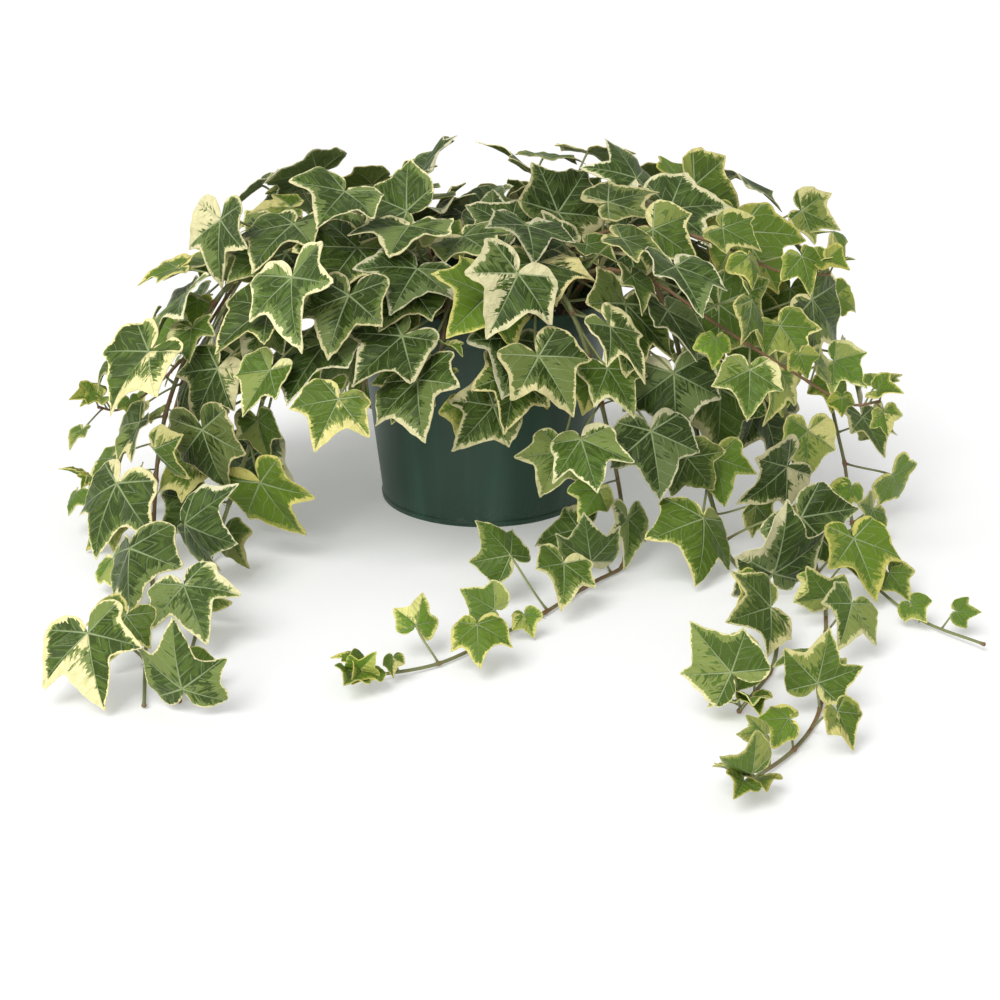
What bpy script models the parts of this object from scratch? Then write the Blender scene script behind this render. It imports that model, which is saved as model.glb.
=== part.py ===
"""A variegated English ivy growing in a round plastic nursery pot.

The pot stands on its flat base at the origin, with +Z up and the side that faces the viewer at -Y.
Every leafy stem is one solid: a tapered stem, its leaf stalks and its lobed blades, joined.
Stems that come down past the rim lie along the surface that the pot stands on.
"""

import math
import random
from collections import namedtuple

import bmesh
import bpy
from mathutils import Matrix, Vector
from mathutils.bvhtree import BVHTree

# Driving sizes of the pot, in metres
POT_HEIGHT = 0.125
POT_BASE_RADIUS = 0.060
POT_DRAFT = 0.112
POT_WALL = 0.0016
POT_FLOOR = 0.0022
RIM_HEIGHT = 0.015
RIM_STEP = 0.0042
FOOT_HEIGHT = 0.0035
FOOT_STEP = 0.0008
POT_SEGMENTS = 32
DRAIN_HOLES = 6
DRAIN_RADIUS = 0.0055
DRAIN_RING = 0.043
DRAIN_SIDES = 8

# The soil and the sockets that the stems stand in
SOIL_TOP = 0.108
SOIL_GAP = 0.0004
SOIL_BUMP = 0.0016
SOIL_SEGMENTS = 20
SOIL_RING = 0.30
ROOT_DEPTH = 0.012
SOCKET_GAP = 0.0007
SOCKET_SIDES = 4

# Stems, leaf stalks and blades
BLADE_THICKNESS = 0.0008
STALK_RADIUS = 0.0007
STEM_SPACING = 0.021
STEM_TAPER = 0.42
FLOOR_LIFT = 0.0004
CURVE_STEPS = 12
NODE_SPACING = 0.002
TRIAL_SPACING = 0.010

# Which way leaves turn: away from the heart of the plant, up, and on the front half towards the viewer
HEART = Vector((0.0, 0.0, 0.070))
UP = Vector((0.0, 0.0, 1.0))
FRONT = Vector((0.0, -1.0, 0.0))
FRONT_HALF = 0.04
TURN_OUT = 0.80
TURN_UP = 0.55
TURN_FRONT = 0.55

# What varies from leaf to leaf, with lengths as shares of the blade's
SIZE_SPREAD = (0.86, 1.10)
STALK_SPREAD = (0.4, 1.5)
LONGEST_STALK = 1.8
BLADE_TILT = 0.55
TIP_SWING = 0.5
FOLD = (0.02, 0.24)
DROOP = (0.03, 0.18)
WAVE = (0.02, 0.06)
SKEW = (-0.08, 0.08)

# The crown is a dome over the pot, and the front of the pot stays in view under it
CROWN_BASE = 0.080
CROWN_REACH = Vector((0.185, 0.155, 0.092))
CROWN_ZONE = 0.020
WINDOW_TOP = 0.066
WINDOW_SLOPE = 0.20
WINDOW_FOOT = 0.03
WINDOW_LEFT = -0.082
WINDOW_RIGHT = 0.058

# How a leaf finds room: tries for each leaf, the room round blades, stalks, stems and the pot,
# and what a try scores for its distance to other leaves, a short stalk and its place on the dome
TRIALS = 500
BLADE_ROOM = 0.0011
STALK_ROOM = 0.0007
STEM_ROOM = 0.0014
POT_ROOM = 0.0014
EDGE_ROOM = 1.04
ENOUGH_ROOM = 0.042
LONG_STALK_COST = 0.12
OFF_DOME_COST = 0.06
LUCK = 0.004
MID_RING = 0.55
CROWDING = 1.45
LEAF_SEED = 14

# Half the outline of a blade, from its tip round to the notch: (degrees from the tip, share of its length)
GROWN_OUTLINE = ((0, 1.0), (15, 0.74), (35, 0.58), (58, 0.84), (84, 0.61), (118, 0.66), (150, 0.42))
MIDDLE_OUTLINE = ((0, 1.0), (15, 0.72), (36, 0.55), (58, 0.82), (86, 0.58), (132, 0.58))
YOUNG_OUTLINE = ((0, 1.0), (33, 0.58), (60, 0.76), (130, 0.52))
MIDDLE_SIZE = 0.036
YOUNG_SIZE = 0.022

Vine = namedtuple("Vine", "name route leaf gap first taper radius over_pot", defaults=(False,))
Leaf = namedtuple("Leaf", "root joint tip normal size fold droop wave skew")

# Leafy stems that trail or reach out, each with the points of its route, from the soil to its end.
# leaf is the length of a grown blade, gap the way between leaves, first the bare way above the soil,
# taper the size of the last leaf against a grown one, and radius the stem's at its root. The leaves of one
# that is over_pot may hang in front of the pot.
REACHING_VINES = (
    Vine("vine_left_inner", (
        (-0.044, -0.026, 0.114), (-0.060, -0.036, 0.140), (-0.086, -0.051, 0.144), (-0.108, -0.064, 0.112),
        (-0.124, -0.077, 0.066), (-0.138, -0.092, 0.026), (-0.147, -0.112, 0.003), (-0.146, -0.140, 0.002),
        (-0.143, -0.175, 0.002), (-0.139, -0.215, 0.002), (-0.136, -0.280, 0.002),
    ), 0.040, 0.032, 0.030, 0.80, 0.0015),
    Vine("vine_left_outer", (
        (-0.050, -0.007, 0.114), (-0.070, -0.012, 0.146), (-0.100, -0.023, 0.156), (-0.138, -0.040, 0.138),
        (-0.165, -0.060, 0.096), (-0.178, -0.082, 0.048), (-0.178, -0.106, 0.010), (-0.174, -0.135, 0.002),
        (-0.167, -0.180, 0.002), (-0.160, -0.232, 0.002), (-0.150, -0.284, 0.002),
    ), 0.041, 0.032, 0.028, 0.78, 0.0015),
    Vine("vine_left_arm", (
        (-0.050, 0.013, 0.114), (-0.068, 0.016, 0.146), (-0.102, 0.012, 0.153), (-0.138, 0.002, 0.130),
        (-0.166, -0.012, 0.094), (-0.188, -0.022, 0.072), (-0.208, -0.028, 0.060), (-0.220, -0.030, 0.062),
    ), 0.036, 0.026, 0.028, 0.38, 0.0012),
    Vine("vine_left_low", (
        (-0.040, 0.033, 0.114), (-0.058, 0.045, 0.150), (-0.096, 0.050, 0.158), (-0.142, 0.043, 0.130),
        (-0.174, 0.026, 0.080), (-0.188, 0.002, 0.034), (-0.197, -0.022, 0.010), (-0.208, -0.042, 0.008),
        (-0.222, -0.056, 0.020),
    ), 0.037, 0.029, 0.028, 0.34, 0.0013),
    Vine("vine_centre", (
        (0.018, -0.047, 0.114), (0.026, -0.066, 0.140), (0.043, -0.090, 0.142), (0.058, -0.104, 0.106),
        (0.070, -0.106, 0.058), (0.077, -0.110, 0.018), (0.074, -0.124, 0.002), (0.062, -0.140, 0.002),
        (0.040, -0.171, 0.002), (0.014, -0.205, 0.002), (-0.020, -0.241, 0.002), (-0.056, -0.261, 0.004),
    ), 0.034, 0.030, 0.030, 0.42, 0.0014, True),
    Vine("vine_right_inner", (
        (0.046, -0.024, 0.114), (0.063, -0.035, 0.142), (0.089, -0.052, 0.145), (0.105, -0.066, 0.112),
        (0.117, -0.079, 0.062), (0.127, -0.092, 0.022), (0.134, -0.110, 0.002), (0.142, -0.150, 0.002),
        (0.146, -0.200, 0.002), (0.138, -0.243, 0.002), (0.117, -0.290, 0.002),
    ), 0.042, 0.029, 0.028, 0.74, 0.0016),
    Vine("vine_right_outer", (
        (0.051, -0.004, 0.114), (0.073, -0.008, 0.148), (0.108, -0.020, 0.158), (0.143, -0.041, 0.130),
        (0.164, -0.062, 0.080), (0.175, -0.082, 0.028), (0.179, -0.106, 0.003), (0.178, -0.140, 0.002),
        (0.173, -0.186, 0.002), (0.165, -0.238, 0.002), (0.152, -0.292, 0.002), (0.133, -0.328, 0.002),
        (0.108, -0.360, 0.003),
    ), 0.040, 0.030, 0.028, 0.45, 0.0015),
    Vine("vine_right_far", (
        (0.049, 0.016, 0.114), (0.072, 0.022, 0.150), (0.114, 0.022, 0.164), (0.160, 0.008, 0.144),
        (0.190, -0.016, 0.096), (0.203, -0.046, 0.042), (0.207, -0.078, 0.006), (0.204, -0.112, 0.002),
        (0.206, -0.150, 0.002), (0.219, -0.192, 0.002), (0.243, -0.224, 0.004),
    ), 0.039, 0.030, 0.028, 0.32, 0.0013),
    Vine("vine_right_arm_low", (
        (0.035, -0.040, 0.114), (0.054, -0.058, 0.146), (0.086, -0.083, 0.150), (0.122, -0.101, 0.130),
        (0.160, -0.112, 0.108), (0.190, -0.118, 0.092), (0.206, -0.121, 0.094),
    ), 0.036, 0.029, 0.030, 0.40, 0.0012),
    Vine("vine_right_arm_high", (
        (0.030, -0.018, 0.114), (0.050, -0.030, 0.154), (0.086, -0.048, 0.170), (0.124, -0.062, 0.164),
        (0.160, -0.070, 0.150), (0.184, -0.076, 0.150),
    ), 0.036, 0.027, 0.032, 0.50, 0.0012),
    Vine("vine_back_left", (
        (-0.026, 0.044, 0.114), (-0.036, 0.062, 0.146), (-0.052, 0.088, 0.150), (-0.067, 0.108, 0.112),
        (-0.076, 0.120, 0.060), (-0.082, 0.132, 0.018), (-0.088, 0.152, 0.002), (-0.100, 0.186, 0.002),
        (-0.106, 0.226, 0.002),
    ), 0.039, 0.034, 0.028, 0.55, 0.0014),
    Vine("vine_back_middle", (
        (0.002, 0.051, 0.114), (0.004, 0.071, 0.148), (0.008, 0.098, 0.152), (0.012, 0.120, 0.116),
        (0.014, 0.133, 0.062), (0.015, 0.146, 0.018), (0.012, 0.168, 0.002), (-0.002, 0.204, 0.002),
        (-0.010, 0.248, 0.003),
    ), 0.038, 0.030, 0.028, 0.45, 0.0014),
    Vine("vine_back_right", (
        (0.030, 0.042, 0.114), (0.042, 0.060, 0.148), (0.064, 0.088, 0.154), (0.088, 0.112, 0.122),
        (0.104, 0.126, 0.066), (0.114, 0.138, 0.020), (0.124, 0.154, 0.002), (0.142, 0.182, 0.002),
        (0.150, 0.220, 0.003),
    ), 0.039, 0.034, 0.028, 0.50, 0.0014),
)

# Short leafy stems that make the crown: degrees from +X, distances of the root and of the end from the axis,
# greatest height, height of the end, and length of a grown blade
CROWN_STEMS = (
    (-58, 0.044, 0.120, 0.138, 0.086, 0.043),
    (-80, 0.046, 0.112, 0.137, 0.092, 0.044),
    (-102, 0.045, 0.110, 0.138, 0.106, 0.044),
    (-124, 0.046, 0.114, 0.139, 0.114, 0.042),
    (-138, 0.026, 0.110, 0.146, 0.130, 0.041),
    (172, 0.028, 0.136, 0.150, 0.140, 0.040),
    (132, 0.030, 0.118, 0.148, 0.122, 0.040),
    (100, 0.026, 0.110, 0.148, 0.122, 0.040),
    (52, 0.028, 0.116, 0.148, 0.128, 0.040),
    (12, 0.030, 0.138, 0.150, 0.140, 0.040),
    (-22, 0.030, 0.128, 0.150, 0.136, 0.041),
    (-86, 0.018, 0.080, 0.150, 0.142, 0.042),
    (60, 0.006, 0.052, 0.150, 0.150, 0.040),
)
CROWN_HEAD = 0.114
CROWN_GAP = 0.015
CROWN_FIRST = 0.020
CROWN_TAPER = 0.72
CROWN_RADIUS = 0.0014


def crown_vine(number, degrees, start, reach, top, end, leaf):
    """A short stem that rises from the soil, arches over and ends in the crown."""
    angle = math.radians(degrees)
    out = Vector((math.cos(angle), math.sin(angle), 0.0))
    middle = (top + end) / 2 + 0.004
    stations = ((0.0, CROWN_HEAD), (0.14, top - 0.016), (0.45, top), (0.78, middle), (1.0, end))
    route = tuple(tuple(out * (start + share * (reach - start)) + UP * height) for share, height in stations)
    return Vine(f"vine_crown_{number:02d}", route, leaf, CROWN_GAP, CROWN_FIRST, CROWN_TAPER, CROWN_RADIUS)


def all_vines():
    crown = [crown_vine(number + 1, *stem) for number, stem in enumerate(CROWN_STEMS)]
    return list(REACHING_VINES) + crown


def smooth_points(points, first, last):
    """Points close together on a smooth curve through these, with first and last as the ends' guides."""
    ends = [first, *points, last]
    fine = []
    for a, b, c, d in zip(ends, ends[1:], ends[2:], ends[3:]):
        for step in range(CURVE_STEPS):
            t = step / CURVE_STEPS
            fine.append(0.5 * (2 * b + (c - a) * t + (2 * a - 5 * b + 4 * c - d) * t**2
                               + (3 * b - a - 3 * c + d) * t**3))
    fine.append(points[-1])
    return fine


def route_curve(vine, spacing):
    """(points about spacing apart along the vine's route, its length), never lower than the stem can lie."""
    points = [Vector(p) for p in vine.route]
    below = points[0] - UP * (points[1] - points[0]).length
    fine = smooth_points(points, below, points[-1] * 2 - points[-2])
    lengths = [0.0]
    for a, b in zip(fine, fine[1:]):
        lengths.append(lengths[-1] + (b - a).length)
    count = max(3, round(lengths[-1] / spacing))
    curve = [point_at(fine, lengths, lengths[-1] * number / count) for number in range(count + 1)]
    for point in curve:
        point.z = max(point.z, vine.radius + FLOOR_LIFT)
    return curve, lengths[-1]


def point_at(fine, lengths, way):
    for a, b, start, end in zip(fine, fine[1:], lengths, lengths[1:]):
        if way <= end:
            return a.lerp(b, (way - start) / max(end - start, 1e-9))
    return fine[-1].copy()


def stem_path(vine, spacing):
    """(point, radius) along the stem, from its end in the soil: straight up its socket, then the route."""
    curve, _ = route_curve(vine, spacing)
    last = len(curve) - 1
    path = [(point, vine.radius * (1 - STEM_TAPER * k / last)) for k, point in enumerate(curve)]
    head = curve[0]
    return [(Vector((head.x, head.y, SOIL_TOP - ROOT_DEPTH)), vine.radius)] + path


def nearest_on_stem(path, place):
    """(point, radius) of the stem as it is built, on its axis, nearest to this place."""
    spots = []
    for (a, thick), (b, thin) in zip(path, path[1:]):
        along = b - a
        share = min(1.0, max(0.0, (place - a).dot(along) / along.length_squared))
        spots.append((a + along * share, thick + (thin - thick) * share))
    return min(spots, key=lambda spot: (spot[0] - place).length)


def leaf_nodes(vine):
    """(place on the stem, direction along it, share of the stem's length) of each leaf."""
    curve, length = route_curve(vine, NODE_SPACING)
    count = max(2, round((length - vine.first) / vine.gap))
    nodes = []
    for number in range(count + 1):
        way = vine.first + (length - vine.first) * (number / count) ** CROWDING
        index = min(len(curve) - 2, round(way / length * (len(curve) - 1)))
        tangent = (curve[index + 1] - curve[max(0, index - 1)]).normalized()
        nodes.append((curve[index], tangent, way / length))
    return nodes


def random_direction(rng):
    while True:
        v = Vector((rng.uniform(-1, 1), rng.uniform(-1, 1), rng.uniform(-1, 1)))
        if 0.05 < v.length < 1:
            return v.normalized()


def spot_on_crown(place, rng):
    """A place near this one on, or a little under, the surface of the crown's dome."""
    middle = UP * CROWN_BASE
    around = (place - middle).normalized() + random_direction(rng) * rng.uniform(0.0, 0.6)
    scaled = Vector((around.x / CROWN_REACH.x, around.y / CROWN_REACH.y, around.z / CROWN_REACH.z))
    return middle + around * rng.uniform(0.80, 1.0) / scaled.length


def draw_leaf(vine, node, side, rng):
    """One possible leaf at this node: its stalk leans to the light, and its blade faces it, tip down."""
    place, tangent, share = node
    outward = (place - HEART).normalized()
    facing = TURN_FRONT if place.y < FRONT_HALF else 0.0
    light = (outward * TURN_OUT + UP * TURN_UP + FRONT * facing).normalized()
    across = tangent.cross(light)
    across = across.normalized() * side if across.length > 0.1 else random_direction(rng)
    size = vine.leaf * (1 - (1 - vine.taper) * share**1.6) * rng.uniform(*SIZE_SPREAD)
    stalk = across * rng.uniform(0.0, 1.0) + light * rng.uniform(0.45, 1.2) + tangent * rng.uniform(-0.3, 0.6)
    reach = size * rng.uniform(*STALK_SPREAD)
    if place.z > CROWN_BASE + CROWN_ZONE and rng.random() < 0.5:
        stalk = spot_on_crown(place, rng) - place
        reach = min(stalk.length, size * LONGEST_STALK)
    joint = place + stalk.normalized() * reach
    normal = (light + random_direction(rng) * BLADE_TILT).normalized()
    heading = stalk.normalized() * 0.55 + tangent * 0.35 - UP * 0.75 + random_direction(rng) * TIP_SWING
    tip = (heading - normal * heading.dot(normal)).normalized()
    return Leaf(place, joint, tip, normal, size, rng.uniform(*FOLD), rng.uniform(*DROOP),
                rng.uniform(*WAVE), rng.uniform(*SKEW))


def stalk_comes_from_behind(leaf):
    """Whether the stalk reaches the blade from its underside and from the side of its notch."""
    back = (leaf.root - leaf.joint).normalized()
    return back.dot((leaf.tip + leaf.normal).normalized()) < -0.5 and back.dot(leaf.normal) < 0.05


def blade_height(leaf, x, y):
    """How far the blade stands off its flat at x, y: folded up along the midrib, drooping and waved."""
    reach = math.hypot(x, y)
    waves = math.cos(6 * math.atan2(x, y))
    return leaf.fold * abs(x) - leaf.droop * reach * reach - leaf.wave * reach * reach * waves


def blade_point(leaf, angle, radius):
    """A point of the blade, at an angle in radians from its tip and a share of its length from its joint."""
    x, y = radius * math.sin(angle), radius * math.cos(angle)
    x += leaf.skew * max(y, 0.0)
    z = blade_height(leaf, x, y)
    across = leaf.tip.cross(leaf.normal)
    return leaf.joint + (across * x + leaf.tip * y + leaf.normal * z) * leaf.size


def both_sides(half):
    """(angle, radius) of each point of a blade's outline, once round from one side of the notch."""
    right = [(math.radians(degrees), radius) for degrees, radius in half]
    return [(-angle, radius) for angle, radius in reversed(right[1:])] + right


def outline_of(leaf):
    if leaf.size >= MIDDLE_SIZE:
        return both_sides(GROWN_OUTLINE)
    return both_sides(YOUNG_OUTLINE if leaf.size < YOUNG_SIZE else MIDDLE_OUTLINE)


def trial_solid(leaf):
    """A thick copy of the blade, as points and faces, that keeps its neighbours away."""
    outline = both_sides(GROWN_OUTLINE)
    count = len(outline)
    sheet = [leaf.joint]
    sheet += [blade_point(leaf, angle, radius * MID_RING) for angle, radius in outline]
    sheet += [blade_point(leaf, angle, radius * EDGE_ROOM) for angle, radius in outline]
    offset = leaf.normal * BLADE_ROOM
    points = [p + offset for p in sheet] + [p - offset for p in sheet]
    under = len(sheet)
    faces = []
    for i in range(1, count):
        j = i + 1
        for tri in ((0, i, j), (i, i + count, j + count), (i, j + count, j)):
            faces.append(tri)
            faces.append(tuple(under + k for k in reversed(tri)))
        faces.append((i + count, j + count, under + j + count, under + i + count))
    return points, faces


def prism(a, b, radius):
    """Points and faces of a three-sided bar from a to b."""
    along = (b - a).normalized()
    side = along.orthogonal().normalized() * radius
    ring = [Matrix.Rotation(math.radians(120 * k), 3, along) @ side for k in range(3)]
    points = [a + r for r in ring] + [b + r for r in ring]
    faces = [(0, 1, 2), (3, 4, 5), (0, 1, 4, 3), (1, 2, 5, 4), (2, 0, 3, 5)]
    return points, faces


def tree_of(points, faces):
    """(search tree, lowest corner, highest corner) of a small mesh."""
    low = [min(p[k] for p in points) for k in range(3)]
    high = [max(p[k] for p in points) for k in range(3)]
    return BVHTree.FromPolygons(points, faces), low, high


def meets(first, second):
    for k in range(3):
        if first[1][k] > second[2][k] or second[1][k] > first[2][k]:
            return False
    return bool(first[0].overlap(second[0]))


def pot_radius(z):
    """Outer radius of the pot at height z."""
    rim = RIM_STEP if z > POT_HEIGHT - RIM_HEIGHT else 0.0
    return POT_BASE_RADIUS + POT_DRAFT * z + rim


def inside_pot(point):
    return point.z < POT_HEIGHT + POT_ROOM and math.hypot(point.x, point.y) < pot_radius(point.z) + POT_ROOM


def stem_obstacle(vine):
    path = stem_path(vine, TRIAL_SPACING)
    points, faces = [], []
    for (a, _), (b, _) in zip(path, path[1:]):
        more, sides = prism(a, b, vine.radius + STEM_ROOM)
        faces += [tuple(len(points) + i for i in face) for face in sides]
        points += more
    return tree_of(points, faces)


def pot_obstacle():
    """The pot's outer wall and rim, a little larger than they are, and open in the middle."""
    band = POT_HEIGHT - RIM_HEIGHT - POT_ROOM
    outside = RIM_STEP + POT_ROOM
    inside = RIM_STEP - POT_WALL - POT_ROOM
    top = POT_HEIGHT + POT_ROOM
    levels = ((-POT_ROOM, POT_ROOM), (band, POT_ROOM), (band, outside), (top, outside), (top, inside),
              (SOIL_TOP, inside))
    points, faces = [], []
    for height, proud in levels:
        radius = POT_BASE_RADIUS + POT_DRAFT * height + proud
        for k in range(POT_SEGMENTS):
            angle = k * math.tau / POT_SEGMENTS
            points.append(Vector((radius * math.cos(angle), radius * math.sin(angle), height)))
    for ring in range(len(levels) - 1):
        for k in range(POT_SEGMENTS):
            a, b = ring * POT_SEGMENTS + k, ring * POT_SEGMENTS + (k + 1) % POT_SEGMENTS
            faces.append((a, b, b + POT_SEGMENTS, a + POT_SEGMENTS))
    return tree_of(points, faces)


def blade_is_in_pot(leaf):
    return inside_pot(leaf.joint) or any(inside_pot(blade_point(leaf, *spot)) for spot in outline_of(leaf))


def hides_pot(leaf):
    """Whether the blade hangs down over the part of the pot's front that shows under the crown."""
    for angle, radius in outline_of(leaf):
        spot = blade_point(leaf, angle, radius)
        low = spot.z < WINDOW_TOP - WINDOW_SLOPE * spot.x
        if low and spot.y < 0 and WINDOW_LEFT < spot.x < WINDOW_RIGHT and spot.z > WINDOW_FOOT:
            return True
    return False


def crown_depth(spot):
    """How far from the surface of the crown's dome this place is, as a share of its reach."""
    scaled = Vector((spot.x / CROWN_REACH.x, spot.y / CROWN_REACH.y, (spot.z - CROWN_BASE) / CROWN_REACH.z))
    return abs(scaled.length - 1)


def leaf_is_clear(blade, stalk, vine, stems, placed, pot):
    if meets(blade, pot) or meets(stalk, pot):
        return False
    for name, stem in stems.items():
        if meets(blade, stem) or (name != vine.name and meets(stalk, stem)):
            return False
    for other_blade, other_stalk, _ in placed:
        if meets(blade, other_blade) or meets(blade, other_stalk) or meets(stalk, other_blade):
            return False
        if meets(stalk, other_stalk):
            return False
    return True


def leaf_may_hang(leaf, points, vine):
    """Whether this try is above the floor, well attached, and neither in the pot nor over its bare front."""
    if min(p.z for p in points) < FLOOR_LIFT or not stalk_comes_from_behind(leaf):
        return False
    return not blade_is_in_pot(leaf) and (vine.over_pot or not hides_pot(leaf))


def score_of(leaf, centre, placed, rng):
    room = min([(centre - other).length for _, _, other in placed], default=1.0)
    score = min(room, ENOUGH_ROOM) - LONG_STALK_COST * (leaf.joint - leaf.root).length + rng.uniform(0, LUCK)
    if centre.z > CROWN_BASE - CROWN_ZONE:
        score -= OFF_DOME_COST * crown_depth(centre)
    return score


def best_leaf(vine, node, side, rng, stems, placed, pot):
    """(leaf, its blade, stalk and centre as obstacles) of the best try at this node, or None."""
    best = None
    for _ in range(TRIALS):
        leaf = draw_leaf(vine, node, side, rng)
        points, faces = trial_solid(leaf)
        if not leaf_may_hang(leaf, points, vine):
            continue
        centre = leaf.joint + leaf.tip * leaf.size * 0.35
        score = score_of(leaf, centre, placed, rng)
        if best is not None and score <= best[0]:
            continue
        blade = tree_of(points, faces)
        stalk = tree_of(*prism(leaf.root, leaf.joint, STALK_RADIUS + STALK_ROOM))
        if leaf_is_clear(blade, stalk, vine, stems, placed, pot):
            best = (score, leaf, (blade, stalk, centre))
    return best[1:] if best else None


def grow_leaves(vines):
    """Places the leaves in rounds, one for each vine in turn, so that no vine takes all the room."""
    rng = random.Random(LEAF_SEED)
    stems = {vine.name: stem_obstacle(vine) for vine in vines}
    pot = pot_obstacle()
    placed, leaves = [], {vine.name: [] for vine in vines}
    queues = {vine.name: leaf_nodes(vine) for vine in vines}
    for turn in range(max(len(nodes) for nodes in queues.values())):
        for vine in vines:
            if turn >= len(queues[vine.name]):
                continue
            side = 1 if turn % 2 else -1
            found = best_leaf(vine, queues[vine.name][turn], side, rng, stems, placed, pot)
            if found:
                leaves[vine.name].append(found[0])
                placed.append(found[1])
    return leaves


def add_object(name, mesh, home, material=None):
    """A new object for this mesh, in its collection."""
    thing = bpy.data.objects.new(name, mesh)
    home.objects.link(thing)
    if material:
        mesh.materials.clear()
        mesh.materials.append(material)
    return thing


def finish_bmesh(bm, name):
    mesh = bpy.data.meshes.new(name)
    bm.to_mesh(mesh)
    bm.free()
    return mesh


def remove_object(thing):
    mesh = thing.data
    bpy.data.objects.remove(thing)
    if mesh.users == 0:
        bpy.data.meshes.remove(mesh)


def evaluated_mesh(thing):
    """The object's mesh as its modifiers leave it."""
    bpy.context.view_layer.update()
    return bpy.data.meshes.new_from_object(thing.evaluated_get(bpy.context.evaluated_depsgraph_get()))


def stem_mesh(vine, home):
    """A tapered stem, made from a curve with filled caps."""
    path = stem_path(vine, STEM_SPACING)
    curve = bpy.data.curves.new(vine.name, "CURVE")
    curve.dimensions = "3D"
    curve.bevel_depth = 1.0
    curve.bevel_resolution = 0
    curve.use_fill_caps = True
    spline = curve.splines.new("POLY")
    spline.points.add(len(path) - 1)
    for point, (place, radius) in zip(spline.points, path):
        point.co = (*place, 1.0)
        point.radius = radius
    guide = add_object(f"{vine.name}_guide", curve, home)
    mesh = evaluated_mesh(guide)
    bpy.data.objects.remove(guide)
    bpy.data.curves.remove(curve)
    bm = bmesh.new()
    bm.from_mesh(mesh)
    bmesh.ops.remove_doubles(bm, verts=bm.verts, dist=0.00001)
    bmesh.ops.recalc_face_normals(bm, faces=bm.faces)
    bm.to_mesh(mesh)
    bm.free()
    return mesh


def leaf_mesh(leaf, path):
    """A lobed blade on its stalk.

    A disc is drawn out to the outline, bent and made thick. The small face left between the two sides
    of the notch is then drawn out into the stalk, as far as the stem's axis.
    """
    outline = outline_of(leaf)
    bm = bmesh.new()
    ring = bmesh.ops.create_circle(bm, cap_ends=True, segments=len(outline) + 2, radius=1.0)["verts"]
    left, right = ring[0], ring[-1]
    tip = 1 + len(outline) // 2
    for vert in ring[2:tip + 1]:
        bmesh.ops.connect_verts(bm, verts=[left, vert])
    for vert in ring[tip:-2]:
        bmesh.ops.connect_verts(bm, verts=[right, vert])
    across = leaf.tip.cross(leaf.normal)
    left.co = leaf.joint - across * STALK_RADIUS
    right.co = leaf.joint + across * STALK_RADIUS
    for vert, (angle, radius) in zip(ring[1:-1], outline):
        vert.co = blade_point(leaf, angle, radius)
    made = bmesh.ops.extrude_face_region(bm, geom=bm.faces[:])["geom"]
    back = [item for item in made if isinstance(item, bmesh.types.BMVert)]
    for vert in back:
        vert.co -= leaf.normal * BLADE_THICKNESS
    heels = sorted(back, key=lambda vert: (vert.co - leaf.joint).length)[:2]
    heel_place = (heels[0].co + heels[1].co) / 2 + leaf.tip * STALK_RADIUS * 2
    bmesh.ops.pointmerge(bm, verts=heels, merge_co=heel_place)
    heel_face = min(left.link_faces, key=lambda face: max((v.co - leaf.joint).length for v in face.verts))
    draw_out_stalk(bm, heel_face, leaf, path)
    bmesh.ops.triangulate(bm, faces=bm.faces)
    bmesh.ops.recalc_face_normals(bm, faces=bm.faces)
    return finish_bmesh(bm, "leaf")


def draw_out_stalk(bm, heel_face, leaf, path):
    """Draws the face at the notch out to the stem's axis, and turns its end square to the stalk."""
    root, stem = nearest_on_stem(path, leaf.root)
    half = min(STALK_RADIUS, 0.65 * stem)
    along = (root - leaf.joint).normalized()
    across = leaf.tip.cross(leaf.normal)
    sideways = (across - along * across.dot(along)).normalized()
    outwards = along.cross(sideways)
    if outwards.dot(leaf.normal - leaf.tip) < 0:
        outwards = -outwards
    made = bmesh.ops.extrude_discrete_faces(bm, faces=[heel_face])["faces"][0]
    for vert in made.verts:
        side = (vert.co - leaf.joint).dot(across) / STALK_RADIUS
        if abs(side) < 0.5:
            vert.co = root - outwards * half
        else:
            vert.co = root + (sideways * math.copysign(1, side) + outwards * 0.6) * half


def build_vine(vine, leaves, home, material):
    """Joins a stem with its stalks and blades into one solid."""
    pieces = bpy.data.collections.new(f"{vine.name}_pieces")
    bpy.context.scene.collection.children.link(pieces)
    stem = add_object(f"{vine.name}_stem", stem_mesh(vine, pieces), home)
    path = stem_path(vine, STEM_SPACING)
    for leaf in leaves:
        add_object("leaf", leaf_mesh(leaf, path), pieces)
    union = stem.modifiers.new("join", "BOOLEAN")
    union.operation = "UNION"
    union.operand_type = "COLLECTION"
    union.collection = pieces
    mesh = evaluated_mesh(stem)
    remove_object(stem)
    for piece in list(pieces.objects):
        remove_object(piece)
    bpy.data.collections.remove(pieces)
    return add_object(vine.name, mesh, home, material)


def shade(thing, degrees=35):
    thing.data.shade_smooth()
    thing.data.set_sharp_from_angle(angle=math.radians(degrees))


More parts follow.
